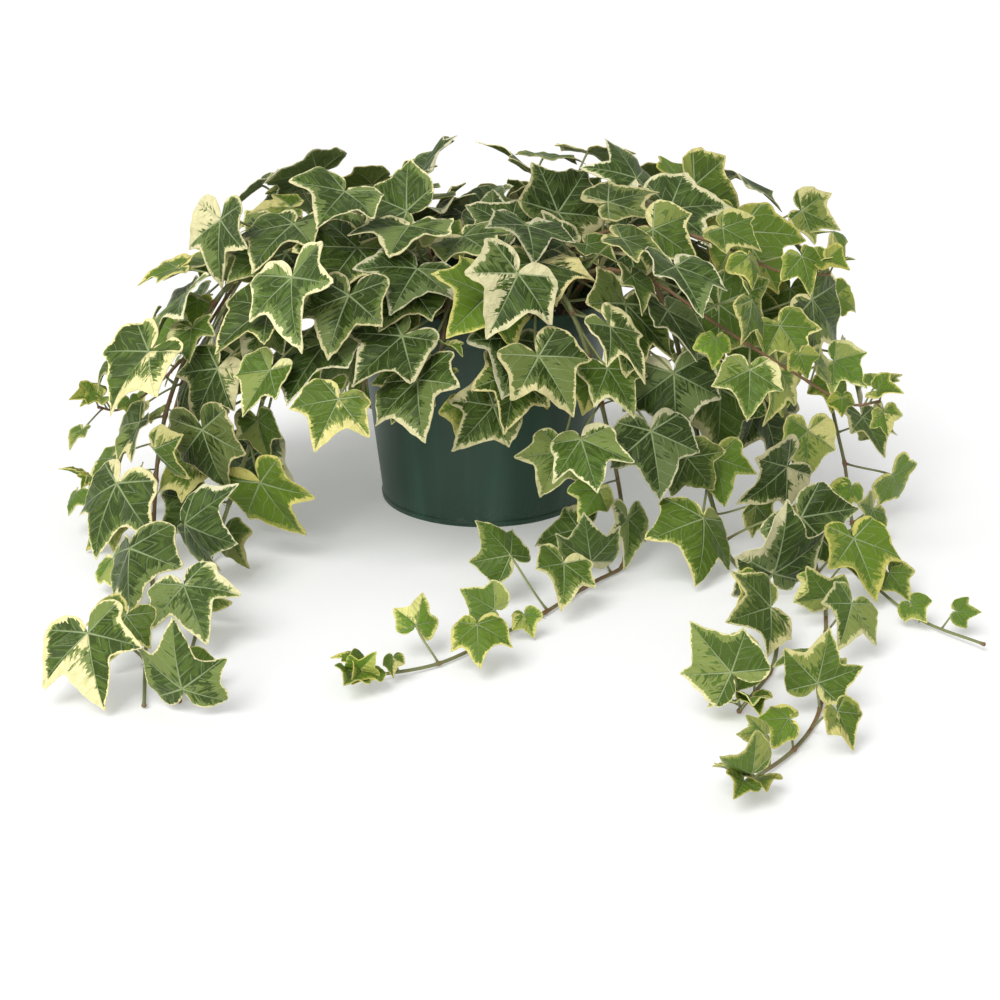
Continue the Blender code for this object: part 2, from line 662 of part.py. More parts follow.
def build_pot(home, cutters, material):
    """The turned pot: a flat base on a small foot, a wall with draft, and a stepped rim."""
    def wall(z):
        return POT_BASE_RADIUS + POT_DRAFT * z

    band = POT_HEIGHT - RIM_HEIGHT
    inner_band = band + POT_WALL
    profile = (
        (0.0, POT_FLOOR),
        (wall(POT_FLOOR) - POT_WALL, POT_FLOOR),
        (wall(inner_band) - POT_WALL, inner_band),
        (wall(inner_band) + RIM_STEP - POT_WALL, inner_band),
        (wall(POT_HEIGHT) + RIM_STEP - POT_WALL, POT_HEIGHT),
        (wall(POT_HEIGHT) + RIM_STEP, POT_HEIGHT),
        (wall(band) + RIM_STEP, band),
        (wall(band), band),
        (wall(FOOT_HEIGHT) + FOOT_STEP, FOOT_HEIGHT),
        (wall(0.0) + FOOT_STEP, 0.0),
        (0.0, 0.0),
    )
    bm = bmesh.new()
    verts = [bm.verts.new((radius, 0.0, height)) for radius, height in profile]
    for a, b in zip(verts, verts[1:]):
        bm.edges.new((a, b))
    pot = add_object("pot", finish_bmesh(bm, "pot"), home, material)
    turn = pot.modifiers.new("turn", "SCREW")
    turn.steps = POT_SEGMENTS
    turn.render_steps = POT_SEGMENTS
    turn.use_merge_vertices = True
    turn.merge_threshold = 0.00001
    turn.use_normal_calculate = True
    bm = bmesh.new()
    for number in range(DRAIN_HOLES):
        angle = math.radians(30) + 2 * math.pi * number / DRAIN_HOLES
        place = Vector((DRAIN_RING * math.cos(angle), DRAIN_RING * math.sin(angle), POT_FLOOR / 2))
        bmesh.ops.create_cone(
            bm, cap_ends=True, segments=DRAIN_SIDES, radius1=DRAIN_RADIUS, radius2=DRAIN_RADIUS,
            depth=POT_FLOOR * 4, matrix=Matrix.Translation(place),
        )
    cut(pot, "drain_holes", bm, cutters)
    return pot


def cut(thing, name, bm, cutters):
    """Cuts the solids in this bmesh out of the object."""
    cutter = add_object(name, finish_bmesh(bm, name), cutters)
    cutter.hide_render = True
    cutter.display_type = "WIRE"
    hole = thing.modifiers.new(name, "BOOLEAN")
    hole.operation = "DIFFERENCE"
    hole.object = cutter


def build_soil(vines, home, cutters, material):
    """The root ball: it fills the pot, is uneven on top, and has a socket for each stem."""
    rng = random.Random(LEAF_SEED)
    low = POT_FLOOR + SOIL_GAP
    shoulder = SOIL_TOP - SOIL_BUMP
    slack = POT_WALL + SOIL_GAP
    edge = pot_radius(shoulder) - slack
    bm = bmesh.new()
    bmesh.ops.create_cone(
        bm, cap_ends=True, segments=SOIL_SEGMENTS, radius1=pot_radius(low) - slack, radius2=edge,
        depth=shoulder - low, matrix=Matrix.Translation((0.0, 0.0, (shoulder + low) / 2)),
    )
    top = max(bm.faces, key=lambda face: face.calc_center_median().z)
    bmesh.ops.inset_region(bm, faces=[top], thickness=edge * SOIL_RING)
    bmesh.ops.inset_region(bm, faces=[top], thickness=edge * SOIL_RING)
    bmesh.ops.poke(bm, faces=[top])
    for vert in bm.verts:
        if vert.co.z > shoulder - SOIL_GAP and math.hypot(vert.co.x, vert.co.y) < edge * (1 - SOIL_RING / 2):
            vert.co.z = SOIL_TOP + rng.uniform(-SOIL_BUMP, SOIL_BUMP)
    bmesh.ops.triangulate(bm, faces=bm.faces)
    soil = add_object("soil", finish_bmesh(bm, "soil"), home, material)
    bm = bmesh.new()
    for vine in vines:
        radius = (vine.radius + SOCKET_GAP) / math.cos(math.pi / SOCKET_SIDES)
        place = Vector((vine.route[0][0], vine.route[0][1], SOIL_TOP - SOCKET_GAP))
        bmesh.ops.create_cone(
            bm, cap_ends=True, segments=SOCKET_SIDES, radius1=radius, radius2=radius,
            depth=ROOT_DEPTH * 2, matrix=Matrix.Translation(place),
        )
    cut(soil, "stem_sockets", bm, cutters)
    return soil


def make_material(name, colour, roughness):
    material = bpy.data.materials.new(name)
    material.use_nodes = True
    shader = material.node_tree.nodes["Principled BSDF"]
    shader.inputs["Base Color"].default_value = (*colour, 1.0)
    shader.inputs["Roughness"].default_value = roughness
    shader.inputs["Metallic"].default_value = 0.0
    material.diffuse_color = (*colour, 1.0)
    return material


def main():
    for thing in list(bpy.data.objects):
        bpy.data.objects.remove(thing)
    home = bpy.data.collections.new("potted_variegated_english_ivy")
    cutters = bpy.data.collections.new("cutters")
    bpy.context.scene.collection.children.link(home)
    bpy.context.scene.collection.children.link(cutters)
    vines = all_vines()
    leaves = grow_leaves(vines)
    build_pot(home, cutters, make_material("pot_plastic", (0.020, 0.050, 0.036), 0.42))
    build_soil(vines, home, cutters, make_material("potting_soil", (0.035, 0.022, 0.014), 0.95))
    for number, vine in enumerate(vines):
        shift = 0.015 * (number % 3)
        leafage = make_material(f"{vine.name}_leafage", (0.10 + shift, 0.20 + shift, 0.09), 0.45)
        shade(build_vine(vine, leaves[vine.name], home, leafage))


if __name__ == "__main__":
    main()
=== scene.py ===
"""The looks of a variegated English ivy in a round nursery pot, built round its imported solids.

Each leafy stem's solid is replaced by a stem with its stalks and by finely lobed, veined and variegated
blades, in the same places. The plant is laid out here as it is in the part's own source.
"""

import math
import random
from collections import namedtuple
from functools import lru_cache

import bmesh
import bpy
import numpy as np
from bpy.props import FloatProperty, FloatVectorProperty, IntProperty, PointerProperty
from mathutils import Matrix, Vector, noise
from mathutils.bvhtree import BVHTree


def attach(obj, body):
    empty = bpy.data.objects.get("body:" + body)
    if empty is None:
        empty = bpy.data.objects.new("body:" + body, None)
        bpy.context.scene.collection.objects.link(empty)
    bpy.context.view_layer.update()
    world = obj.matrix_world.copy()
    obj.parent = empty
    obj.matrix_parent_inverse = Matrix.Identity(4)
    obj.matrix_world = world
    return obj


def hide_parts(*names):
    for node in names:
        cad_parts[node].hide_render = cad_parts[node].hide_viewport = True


bl_info = {
    "name": "Potted Variegated Ivy",
    "version": (1, 0, 0),
    "blender": (4, 5, 0),
    "location": "3D View > Sidebar > Ivy",
    "description": "Dresses a variegated ivy in a nursery pot with leaves, stems, soil and a plain studio",
    "category": "Object",
}

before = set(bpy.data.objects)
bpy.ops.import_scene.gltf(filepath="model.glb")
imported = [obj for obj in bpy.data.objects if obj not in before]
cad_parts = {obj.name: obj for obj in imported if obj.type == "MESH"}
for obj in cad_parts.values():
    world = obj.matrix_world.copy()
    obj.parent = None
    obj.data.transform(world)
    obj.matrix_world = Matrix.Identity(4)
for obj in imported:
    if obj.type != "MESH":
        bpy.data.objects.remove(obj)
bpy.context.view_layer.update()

# Driving sizes of the pot, in metres
POT_HEIGHT = 0.125
POT_BASE_RADIUS = 0.060
POT_DRAFT = 0.112
POT_WALL = 0.0016
POT_FLOOR = 0.0022
RIM_HEIGHT = 0.015
RIM_STEP = 0.0042
FOOT_HEIGHT = 0.0035
FOOT_STEP = 0.0008
POT_SEGMENTS = 32
POT_TURN_STEPS = 128
DRAIN_HOLES = 6
DRAIN_RADIUS = 0.0055
DRAIN_RING = 0.043

# The soil in the pot
SOIL_TOP = 0.108
SOIL_GAP = 0.0004
SOIL_BUMP = 0.0016
ROOT_DEPTH = 0.012

# Stems and leaf stalks
STALK_RADIUS = 0.0007
STEM_TAPER = 0.42
FLOOR_LIFT = 0.0004
CURVE_STEPS = 12
NODE_SPACING = 0.002
TRIAL_SPACING = 0.010

# Which way leaves turn: away from the heart of the plant, up, and on the front half towards the viewer
HEART = Vector((0.0, 0.0, 0.070))
UP = Vector((0.0, 0.0, 1.0))
FRONT = Vector((0.0, -1.0, 0.0))
FRONT_HALF = 0.04
TURN_OUT = 0.80
TURN_UP = 0.55
TURN_FRONT = 0.55

# What varies from leaf to leaf, with lengths as shares of the blade's
SIZE_SPREAD = (0.86, 1.10)
SIZE_FALL = 1.6
CENTRE_SHARE = 0.35
STALK_SPREAD = (0.4, 1.5)
LONGEST_STALK = 1.8
BLADE_TILT = 0.55
TIP_SWING = 0.5
FOLD = (0.02, 0.24)
DROOP = (0.03, 0.18)
WAVE = (0.02, 0.06)
SKEW = (-0.08, 0.08)

# The crown is a dome over the pot, and the front of the pot stays in view under it
CROWN_BASE = 0.080
CROWN_REACH = Vector((0.185, 0.155, 0.092))
CROWN_ZONE = 0.020
WINDOW_TOP = 0.066
WINDOW_SLOPE = 0.20
WINDOW_FOOT = 0.03
WINDOW_LEFT = -0.082
WINDOW_RIGHT = 0.058

# How a leaf finds room: tries for each leaf, the room round blades, stalks, stems and the pot,
# and what a try scores for its distance to other leaves, a short stalk and its place on the dome
TRIALS = 500
BLADE_ROOM = 0.0011
STALK_ROOM = 0.0007
STEM_ROOM = 0.0014
POT_ROOM = 0.0014
EDGE_ROOM = 1.04
ENOUGH_ROOM = 0.042
LONG_STALK_COST = 0.12
OFF_DOME_COST = 0.06
LUCK = 0.004
MID_RING = 0.55
CROWDING = 1.45
LEAF_SEED = 14

# Half the outline of a blade, from its tip round to the notch: (degrees from the tip, share of its length)
GROWN_OUTLINE = ((0, 1.0), (15, 0.74), (35, 0.58), (58, 0.84), (84, 0.61), (118, 0.66), (150, 0.42))
MIDDLE_OUTLINE = ((0, 1.0), (15, 0.72), (36, 0.55), (58, 0.82), (86, 0.58), (132, 0.58))
YOUNG_OUTLINE = ((0, 1.0), (33, 0.58), (60, 0.76), (130, 0.52))
MIDDLE_SIZE = 0.036
YOUNG_SIZE = 0.022

Vine = namedtuple("Vine", "name route leaf gap first taper radius over_pot", defaults=(False,))
Leaf = namedtuple("Leaf", "root joint tip normal size fold droop wave skew")

# Leafy stems that trail or reach out, each with the points of its route, from the soil to its end.
# leaf is the length of a grown blade, gap the way between leaves, first the bare way above the soil,
# taper the size of the last leaf against a grown one, and radius the stem's at its root. The leaves of one
# that is over_pot may hang in front of the pot.
REACHING_VINES = (
    Vine("vine_left_inner", (
        (-0.044, -0.026, 0.114), (-0.060, -0.036, 0.140), (-0.086, -0.051, 0.144), (-0.108, -0.064, 0.112),
        (-0.124, -0.077, 0.066), (-0.138, -0.092, 0.026), (-0.147, -0.112, 0.003), (-0.146, -0.140, 0.002),
        (-0.143, -0.175, 0.002), (-0.139, -0.215, 0.002), (-0.136, -0.280, 0.002),
    ), 0.040, 0.032, 0.030, 0.80, 0.0015),
    Vine("vine_left_outer", (
        (-0.050, -0.007, 0.114), (-0.070, -0.012, 0.146), (-0.100, -0.023, 0.156), (-0.138, -0.040, 0.138),
        (-0.165, -0.060, 0.096), (-0.178, -0.082, 0.048), (-0.178, -0.106, 0.010), (-0.174, -0.135, 0.002),
        (-0.167, -0.180, 0.002), (-0.160, -0.232, 0.002), (-0.150, -0.284, 0.002),
    ), 0.041, 0.032, 0.028, 0.78, 0.0015),
    Vine("vine_left_arm", (
        (-0.050, 0.013, 0.114), (-0.068, 0.016, 0.146), (-0.102, 0.012, 0.153), (-0.138, 0.002, 0.130),
        (-0.166, -0.012, 0.094), (-0.188, -0.022, 0.072), (-0.208, -0.028, 0.060), (-0.220, -0.030, 0.062),
    ), 0.036, 0.026, 0.028, 0.38, 0.0012),
    Vine("vine_left_low", (
        (-0.040, 0.033, 0.114), (-0.058, 0.045, 0.150), (-0.096, 0.050, 0.158), (-0.142, 0.043, 0.130),
        (-0.174, 0.026, 0.080), (-0.188, 0.002, 0.034), (-0.197, -0.022, 0.010), (-0.208, -0.042, 0.008),
        (-0.222, -0.056, 0.020),
    ), 0.037, 0.029, 0.028, 0.34, 0.0013),
    Vine("vine_centre", (
        (0.018, -0.047, 0.114), (0.026, -0.066, 0.140), (0.043, -0.090, 0.142), (0.058, -0.104, 0.106),
        (0.070, -0.106, 0.058), (0.077, -0.110, 0.018), (0.074, -0.124, 0.002), (0.062, -0.140, 0.002),
        (0.040, -0.171, 0.002), (0.014, -0.205, 0.002), (-0.020, -0.241, 0.002), (-0.056, -0.261, 0.004),
    ), 0.034, 0.030, 0.030, 0.42, 0.0014, True),
    Vine("vine_right_inner", (
        (0.046, -0.024, 0.114), (0.063, -0.035, 0.142), (0.089, -0.052, 0.145), (0.105, -0.066, 0.112),
        (0.117, -0.079, 0.062), (0.127, -0.092, 0.022), (0.134, -0.110, 0.002), (0.142, -0.150, 0.002),
        (0.146, -0.200, 0.002), (0.138, -0.243, 0.002), (0.117, -0.290, 0.002),
    ), 0.042, 0.029, 0.028, 0.74, 0.0016),
    Vine("vine_right_outer", (
        (0.051, -0.004, 0.114), (0.073, -0.008, 0.148), (0.108, -0.020, 0.158), (0.143, -0.041, 0.130),
        (0.164, -0.062, 0.080), (0.175, -0.082, 0.028), (0.179, -0.106, 0.003), (0.178, -0.140, 0.002),
        (0.173, -0.186, 0.002), (0.165, -0.238, 0.002), (0.152, -0.292, 0.002), (0.133, -0.328, 0.002),
        (0.108, -0.360, 0.003),
    ), 0.040, 0.030, 0.028, 0.45, 0.0015),
    Vine("vine_right_far", (
        (0.049, 0.016, 0.114), (0.072, 0.022, 0.150), (0.114, 0.022, 0.164), (0.160, 0.008, 0.144),
        (0.190, -0.016, 0.096), (0.203, -0.046, 0.042), (0.207, -0.078, 0.006), (0.204, -0.112, 0.002),
        (0.206, -0.150, 0.002), (0.219, -0.192, 0.002), (0.243, -0.224, 0.004),
    ), 0.039, 0.030, 0.028, 0.32, 0.0013),
    Vine("vine_right_arm_low", (
        (0.035, -0.040, 0.114), (0.054, -0.058, 0.146), (0.086, -0.083, 0.150), (0.122, -0.101, 0.130),
        (0.160, -0.112, 0.108), (0.190, -0.118, 0.092), (0.206, -0.121, 0.094),
    ), 0.036, 0.029, 0.030, 0.40, 0.0012),
    Vine("vine_right_arm_high", (
        (0.030, -0.018, 0.114), (0.050, -0.030, 0.154), (0.086, -0.048, 0.170), (0.124, -0.062, 0.164),
        (0.160, -0.070, 0.150), (0.184, -0.076, 0.150),
    ), 0.036, 0.027, 0.032, 0.50, 0.0012),
    Vine("vine_back_left", (
        (-0.026, 0.044, 0.114), (-0.036, 0.062, 0.146), (-0.052, 0.088, 0.150), (-0.067, 0.108, 0.112),
        (-0.076, 0.120, 0.060), (-0.082, 0.132, 0.018), (-0.088, 0.152, 0.002), (-0.100, 0.186, 0.002),
        (-0.106, 0.226, 0.002),
    ), 0.039, 0.034, 0.028, 0.55, 0.0014),
    Vine("vine_back_middle", (
        (0.002, 0.051, 0.114), (0.004, 0.071, 0.148), (0.008, 0.098, 0.152), (0.012, 0.120, 0.116),
        (0.014, 0.133, 0.062), (0.015, 0.146, 0.018), (0.012, 0.168, 0.002), (-0.002, 0.204, 0.002),
        (-0.010, 0.248, 0.003),
    ), 0.038, 0.030, 0.028, 0.45, 0.0014),
    Vine("vine_back_right", (
        (0.030, 0.042, 0.114), (0.042, 0.060, 0.148), (0.064, 0.088, 0.154), (0.088, 0.112, 0.122),
        (0.104, 0.126, 0.066), (0.114, 0.138, 0.020), (0.124, 0.154, 0.002), (0.142, 0.182, 0.002),
        (0.150, 0.220, 0.003),
    ), 0.039, 0.034, 0.028, 0.50, 0.0014),
)

# Short leafy stems that make the crown: degrees from +X, distances of the root and of the end from the axis,
# greatest height, height of the end, and length of a grown blade
CROWN_STEMS = (
    (-58, 0.044, 0.120, 0.138, 0.086, 0.043),
    (-80, 0.046, 0.112, 0.137, 0.092, 0.044),
    (-102, 0.045, 0.110, 0.138, 0.106, 0.044),
    (-124, 0.046, 0.114, 0.139, 0.114, 0.042),
    (-138, 0.026, 0.110, 0.146, 0.130, 0.041),
    (172, 0.028, 0.136, 0.150, 0.140, 0.040),
    (132, 0.030, 0.118, 0.148, 0.122, 0.040),
    (100, 0.026, 0.110, 0.148, 0.122, 0.040),
    (52, 0.028, 0.116, 0.148, 0.128, 0.040),
    (12, 0.030, 0.138, 0.150, 0.140, 0.040),
    (-22, 0.030, 0.128, 0.150, 0.136, 0.041),
    (-86, 0.018, 0.080, 0.150, 0.142, 0.042),
    (60, 0.006, 0.052, 0.150, 0.150, 0.040),
)
CROWN_HEAD = 0.114
CROWN_GAP = 0.015
CROWN_FIRST = 0.020
CROWN_TAPER = 0.72
CROWN_RADIUS = 0.0014

# Half the margin of a blade, from its tip round to the notch, in stretches from the end of a vein to the
# bottom of a bay between lobes: (degrees of the vein, points as (degrees from the tip, share of the length))
GROWN_MARGIN = (
    (0, ((2.6, 0.945), (8.5, 0.85), (16, 0.765), (25, 0.685), (35, 0.635))),
    (58, ((43, 0.665), (50, 0.755), (55.5, 0.84), (58.5, 0.87))),
    (58, ((62, 0.82), (70, 0.72), (85, 0.63))),
    (112, ((97, 0.625), (107, 0.645), (117, 0.635))),
    (112, ((128, 0.595), (140, 0.51), (151, 0.39), (161, 0.26), (170, 0.12))),
)
MIDDLE_MARGIN = (
    (0, ((3, 0.93), (10, 0.81), (21, 0.68), (36, 0.60))),
    (58, ((46, 0.65), (54, 0.785), (58, 0.85))),
    (58, ((63, 0.77), (73, 0.665), (87, 0.60))),
    (118, ((104, 0.60), (120, 0.60))),
    (118, ((137, 0.51), (153, 0.34), (166, 0.14))),
)
YOUNG_MARGIN = (
    (0, ((6, 0.88), (17, 0.72), (33, 0.61))),
    (60, ((48, 0.68), (60, 0.77))),
    (60, ((74, 0.68), (92, 0.58))),
    (124, ((110, 0.55), (126, 0.50))),
    (124, ((144, 0.38), (162, 0.17))),
)

# How the margin varies from blade to blade, in degrees and shares of the length: its lobes and the bays
# between them, a little chance, the notch, and small waves. Then how its tips curl, and the rings of points
LOBE_LENGTH = (0.88, 1.06)
LOBE_TURN = 4.0
LOBE_BREADTH = 15
BAYS = (35, 86)
BAY_DEPTH = (0.88, 1.07)
BAY_BREADTH = 14
MARGIN_LUCK = 0.018
NOTCH_SHORTER = 0.26
NOTCH_FROM = 100
NOTCH_OVER = 30
MARGIN_STEPS = 3
MARGIN_WAVE = 0.034
MARGIN_WAVELENGTH = 2.3
CURL_FROM = 0.48
CURL_SPREAD = 0.9
BLADE_RINGS = (0.0, 0.16, 0.36, 0.56, 0.74, 0.89, 1.0)
YOUNG_RINGS = (0.0, 0.30, 0.62, 0.86, 1.0)

# How finely stems are made, what they have at their nodes, and their leaf stalks, whose radius grows with
# the blade. STALK_RUN is how each runs on under its blade: (share of the length, share of the radius)
STEM_STEP = 0.0026
STEM_SIDES = 9
STALK_SIDES = 7
STALK_STATIONS = 11
KINK = 0.0006
NODE_SWELLING = 0.42
NODE_LENGTH = 0.0014
STALK_LEAST = 0.00040
STALK_SHARE = 0.0085
STALK_BELOW = 0.0005
STALK_RUN = ((0.10, 0.75), (0.25, 0.5), (0.45, 0.3))
ROOTLETS = (2, 6)
ROOTLET_CHANCE = 0.45
ROOTLET_RADII = (0.00017, 0.00013, 0.00005)
CUT_ENDS = ("vine_left_inner", "vine_left_outer", "vine_right_far")

# Widths of the patterns between two veins as shares of the blade's length: (least, most, how often it is
# wider still, widest), and how creamy a whole blade may be against these
CREAM_WIDTH = (0.010, 0.075, 0.16, 0.36)
SAGE_WIDTH = (0.0, 0.14, 0.20, 0.55)
CREAMY = (0.25, 1.25)

# The length below which a leaf looks young, and how much less makes it wholly so. Then how often a larger
# one is still bright and yellowish, how much more often for each metre to the right, and how bright it is
YOUNG_FROM = 0.034
YOUNG_OVER = 0.018
YOUNG_CHANCE = 0.12
YOUNG_ON_RIGHT = 1.90
YOUNG_BRIGHT = (0.30, 0.90)

# How brown stems are, from 0 to 1: most of them, the brown ones, and how much more at ends and nodes
STEM_TONE = 0.42
TONE_SWING = 0.30
BROWN_STEMS = ("vine_left_arm", "vine_left_low", "vine_right_arm_low", "vine_right_arm_high")
BROWN_TONE = 0.85
END_TONE = 0.16
NODE_TONE = 0.55

# Leaves that fill the gaps between the grown ones, leaves that stand up from a stem that lies down, and the
# smallest ones at growing ends
FILL_TRIALS = 110
FILL_SIZE = 0.66
TIP_SIZE = (0.009, 0.015)
TIP_FOLD = (0.2, 0.5)
TIP_DROOP = 0.1
TIP_WAVE = 0.05
LYING_HEIGHT = 0.012
LYING_GAP = 0.020
LYING_SIZE = {"vine_centre": 1.15, "vine_right_far": 0.75, "vine_back_left": 0.85, "vine_back_middle": 0.9,
              "vine_back_right": 0.85, "vine_right_outer": 0.75}

# Leaves whose sides hang back from the midrib: how often on a reaching stem and in the crown, how far they
# hang, and how far such a blade may roll about its midrib
HANGING = 0.55
HANGING_CROWN = 0.30
HANG_TRIES = 9
HANG_FOLD = (-0.80, -0.15)
HANG_DROOP = (0.04, 0.26)
HANG_ROLL = 0.5

# How finely the soil is made, the height where its side is divided, and its unevenness: (height, how often
# to the metre) of each kind. Then how far out crumbs and grains lie, and their radii
SOIL_GRID = 72
SOIL_WAIST = 0.06
SOIL_RELIEF = ((0.0016, 60), (0.0011, 170), (0.0006, 420))
CRUMB_REACH = 0.96
CRUMB_SIZE = (0.0007, 0.0026)
GRAIN_SIZE = (0.0009, 0.0020)

# The studio: the floor's radius, where the lights stand and point, and the camera's place
FLOOR_RADIUS = 14.0
KEY_FROM = Vector((-0.55, -0.75, 1.25))
STRIP_PLACE = Vector((-0.65, -1.80, 0.40))
STRIP_TARGET = Vector((0.0, 0.0, 0.08))
STRIP_SIZE = (0.22, 1.3)
CAMERA_PLACE = Vector((0.0096, -1.0, 0.37))


def colour_setting(title, description, value):
    return FloatVectorProperty(
        name=title, description=description, subtype="COLOR", size=3, min=0.0, max=1.0, default=value)


def share_setting(title, description, value, top=1.0):
    return FloatProperty(
        name=title, description=description, subtype="FACTOR", min=0.0, max=top, default=value)


def length_setting(title, description, value):
    return FloatProperty(name=title, description=description, subtype="DISTANCE", unit="LENGTH", min=0.0,
                         precision=5, default=value)


class IvyLeafSettings(bpy.types.PropertyGroup):
    deep: colour_setting("Deep green", "Darkest part of a grown leaf's middle", (0.034, 0.064, 0.008))
    middle: colour_setting("Leaf green", "Middle of a grown leaf", (0.068, 0.121, 0.018))
    sage: colour_setting("Sage", "Greyish green between the middle and the margin", (0.155, 0.220, 0.064))
    cream: colour_setting("Cream", "Margin of a grown leaf", (0.77, 0.73, 0.48))
    cream_green: colour_setting("Greenish cream", "Clouds in the margin of a grown leaf", (0.47, 0.51, 0.25))
    young: colour_setting("Young green", "Middle of a young leaf", (0.150, 0.270, 0.024))
    young_margin: colour_setting("Young margin", "Margin of a young leaf", (0.64, 0.64, 0.17))
    vein: colour_setting("Vein", "Main veins on the upper side", (0.36, 0.45, 0.22))
    underside: colour_setting("Underside", "Underside of a leaf", (0.155, 0.218, 0.074))
    thickness: length_setting("Blade thickness", "Thickness of a blade", 0.00042)
    crease: share_setting("Crease", "Depth of the folds along the veins, as a share of the length", 0.042)
    curl: share_setting("Curl", "How far the tips of the lobes bend down, as a share of the length", 0.15)
    ripple: share_setting("Ripple", "Waves along the margin, as a share of the length", 0.014)
    gloss: share_setting("Roughness", "Roughness of the upper side", 0.40)
    shine: share_setting("Shine", "Strength of the upper side's reflections", 0.23)
    relief: length_setting("Vein relief", "Depth of the grooves over the veins", 0.0005)
    seed: IntProperty(name="Pattern seed", description="Changes the patterns of all leaves", default=7, min=0)


class IvyStemSettings(bpy.types.PropertyGroup):
    green: colour_setting("Stalk green", "Young stems and leaf stalks", (0.33, 0.37, 0.14))
    olive: colour_setting("Stem olive", "Grown stems", (0.22, 0.24, 0.095))
    brown: colour_setting("Stem brown", "Nodes, rootlets and stem ends", (0.24, 0.125, 0.056))
    rootlet: length_setting("Rootlet length", "Longest rootlets at the nodes", 0.0035)


class IvyPotSettings(bpy.types.PropertyGroup):
    green: colour_setting("Pot green", "Plastic of the pot", (0.025, 0.061, 0.041))
    # This colour is used for the dust and specks, and also for the painted hazy sheen on the pot
    dust_and_sheen: colour_setting("Dust", "Dust and scuffs on the pot", (0.30, 0.32, 0.28))
    roughness: share_setting("Roughness", "Roughness of the plastic", 0.38)
    shine: share_setting("Shine", "Strength of the plastic's reflections", 0.34)
    edge: length_setting("Edge radius", "Radius of the rim's and the foot's edges", 0.0006)


class IvySoilSettings(bpy.types.PropertyGroup):
    dark: colour_setting("Moist soil", "Low parts of the soil", (0.020, 0.013, 0.009))
    light: colour_setting("Dry soil", "High parts and crumbs of the soil", (0.085, 0.055, 0.034))
    perlite: colour_setting("Perlite", "White grains in the soil", (0.72, 0.71, 0.67))
    crumbs: IntProperty(name="Crumbs", description="Loose crumbs on the soil", default=320, min=0)
    grains: IntProperty(name="Perlite grains", description="White grains on the soil", default=70, min=0)


class IvyStudioSettings(bpy.types.PropertyGroup):
    floor: colour_setting("Floor", "Pale floor", (0.80, 0.80, 0.80))
    glow: share_setting("Floor glow", "Light that the floor itself gives, as a light table does", 0.25)
    sky: share_setting("Fill light", "Strength of the light from all round", 0.50)
    key: share_setting("Key light", "Strength of the broad main light", 1.9, 20.0)
    strip: share_setting("Strip light", "Power of the upright strip, in watts", 8.0, 100.0)
    lens: FloatProperty(
        name="Lens", description="Focal length of the camera", subtype="DISTANCE_CAMERA", min=1.0,
        default=63.975)
    pitch: FloatProperty(
        name="Pitch", description="How far the camera looks down", subtype="ANGLE", unit="ROTATION",
        default=math.radians(20.615))


def crown_vine(number, degrees, start, reach, top, end, leaf):
    """A short stem that rises from the soil, arches over and ends in the crown."""
    angle = math.radians(degrees)
    out = Vector((math.cos(angle), math.sin(angle), 0.0))
    middle = (top + end) / 2 + 0.004
    stations = ((0.0, CROWN_HEAD), (0.14, top - 0.016), (0.45, top), (0.78, middle), (1.0, end))
    route = tuple(tuple(out * (start + share * (reach - start)) + UP * height) for share, height in stations)
    return Vine(f"vine_crown_{number:02d}", route, leaf, CROWN_GAP, CROWN_FIRST, CROWN_TAPER, CROWN_RADIUS)


def all_vines():
    crown = [crown_vine(number + 1, *stem) for number, stem in enumerate(CROWN_STEMS)]
    return list(REACHING_VINES) + crown


def smooth_points(points, first, last, steps=CURVE_STEPS):
    """Points close together on a smooth curve through these, with first and last as the ends' guides."""
    ends = [first, *points, last]
    fine = []
    for a, b, c, d in zip(ends, ends[1:], ends[2:], ends[3:]):
        for step in range(steps):
            t = step / steps
            fine.append(0.5 * (2 * b + (c - a) * t + (2 * a - 5 * b + 4 * c - d) * t**2
                               + (3 * b - a - 3 * c + d) * t**3))
    fine.append(points[-1])
    return fine


def route_curve(vine, spacing):
    """(points about spacing apart along the vine's route, its length), never lower than the stem can lie."""
    points = [Vector(p) for p in vine.route]
    below = points[0] - UP * (points[1] - points[0]).length
    fine = smooth_points(points, below, points[-1] * 2 - points[-2])
    lengths = [0.0]
    for a, b in zip(fine, fine[1:]):
        lengths.append(lengths[-1] + (b - a).length)
    count = max(3, round(lengths[-1] / spacing))
    curve = [point_at(fine, lengths, lengths[-1] * number / count) for number in range(count + 1)]
    for point in curve:
        point.z = max(point.z, vine.radius + FLOOR_LIFT)
    return curve, lengths[-1]


def point_at(fine, lengths, way):
    for a, b, start, end in zip(fine, fine[1:], lengths, lengths[1:]):
        if way <= end:
            return a.lerp(b, (way - start) / max(end - start, 1e-9))
    return fine[-1].copy()


def stem_path(vine, spacing):
    """(point, radius) along the stem, from its end in the soil: straight up its socket, then the route."""
    curve, _ = route_curve(vine, spacing)
    last = len(curve) - 1
    path = [(point, vine.radius * (1 - STEM_TAPER * k / last)) for k, point in enumerate(curve)]
    head = curve[0]
    return [(Vector((head.x, head.y, SOIL_TOP - ROOT_DEPTH)), vine.radius)] + path


def leaf_nodes(vine):
    """(place on the stem, direction along it, share of the stem's length) of each leaf."""
    curve, length = route_curve(vine, NODE_SPACING)
    count = max(2, round((length - vine.first) / vine.gap))
    nodes = []
    for number in range(count + 1):
        way = vine.first + (length - vine.first) * (number / count) ** CROWDING
        index = min(len(curve) - 2, round(way / length * (len(curve) - 1)))
        tangent = (curve[index + 1] - curve[max(0, index - 1)]).normalized()
        nodes.append((curve[index], tangent, way / length))
    return nodes


def bell(x):
    """1 where x is 0, and smoothly less on both sides."""
    return math.exp(-x**2)


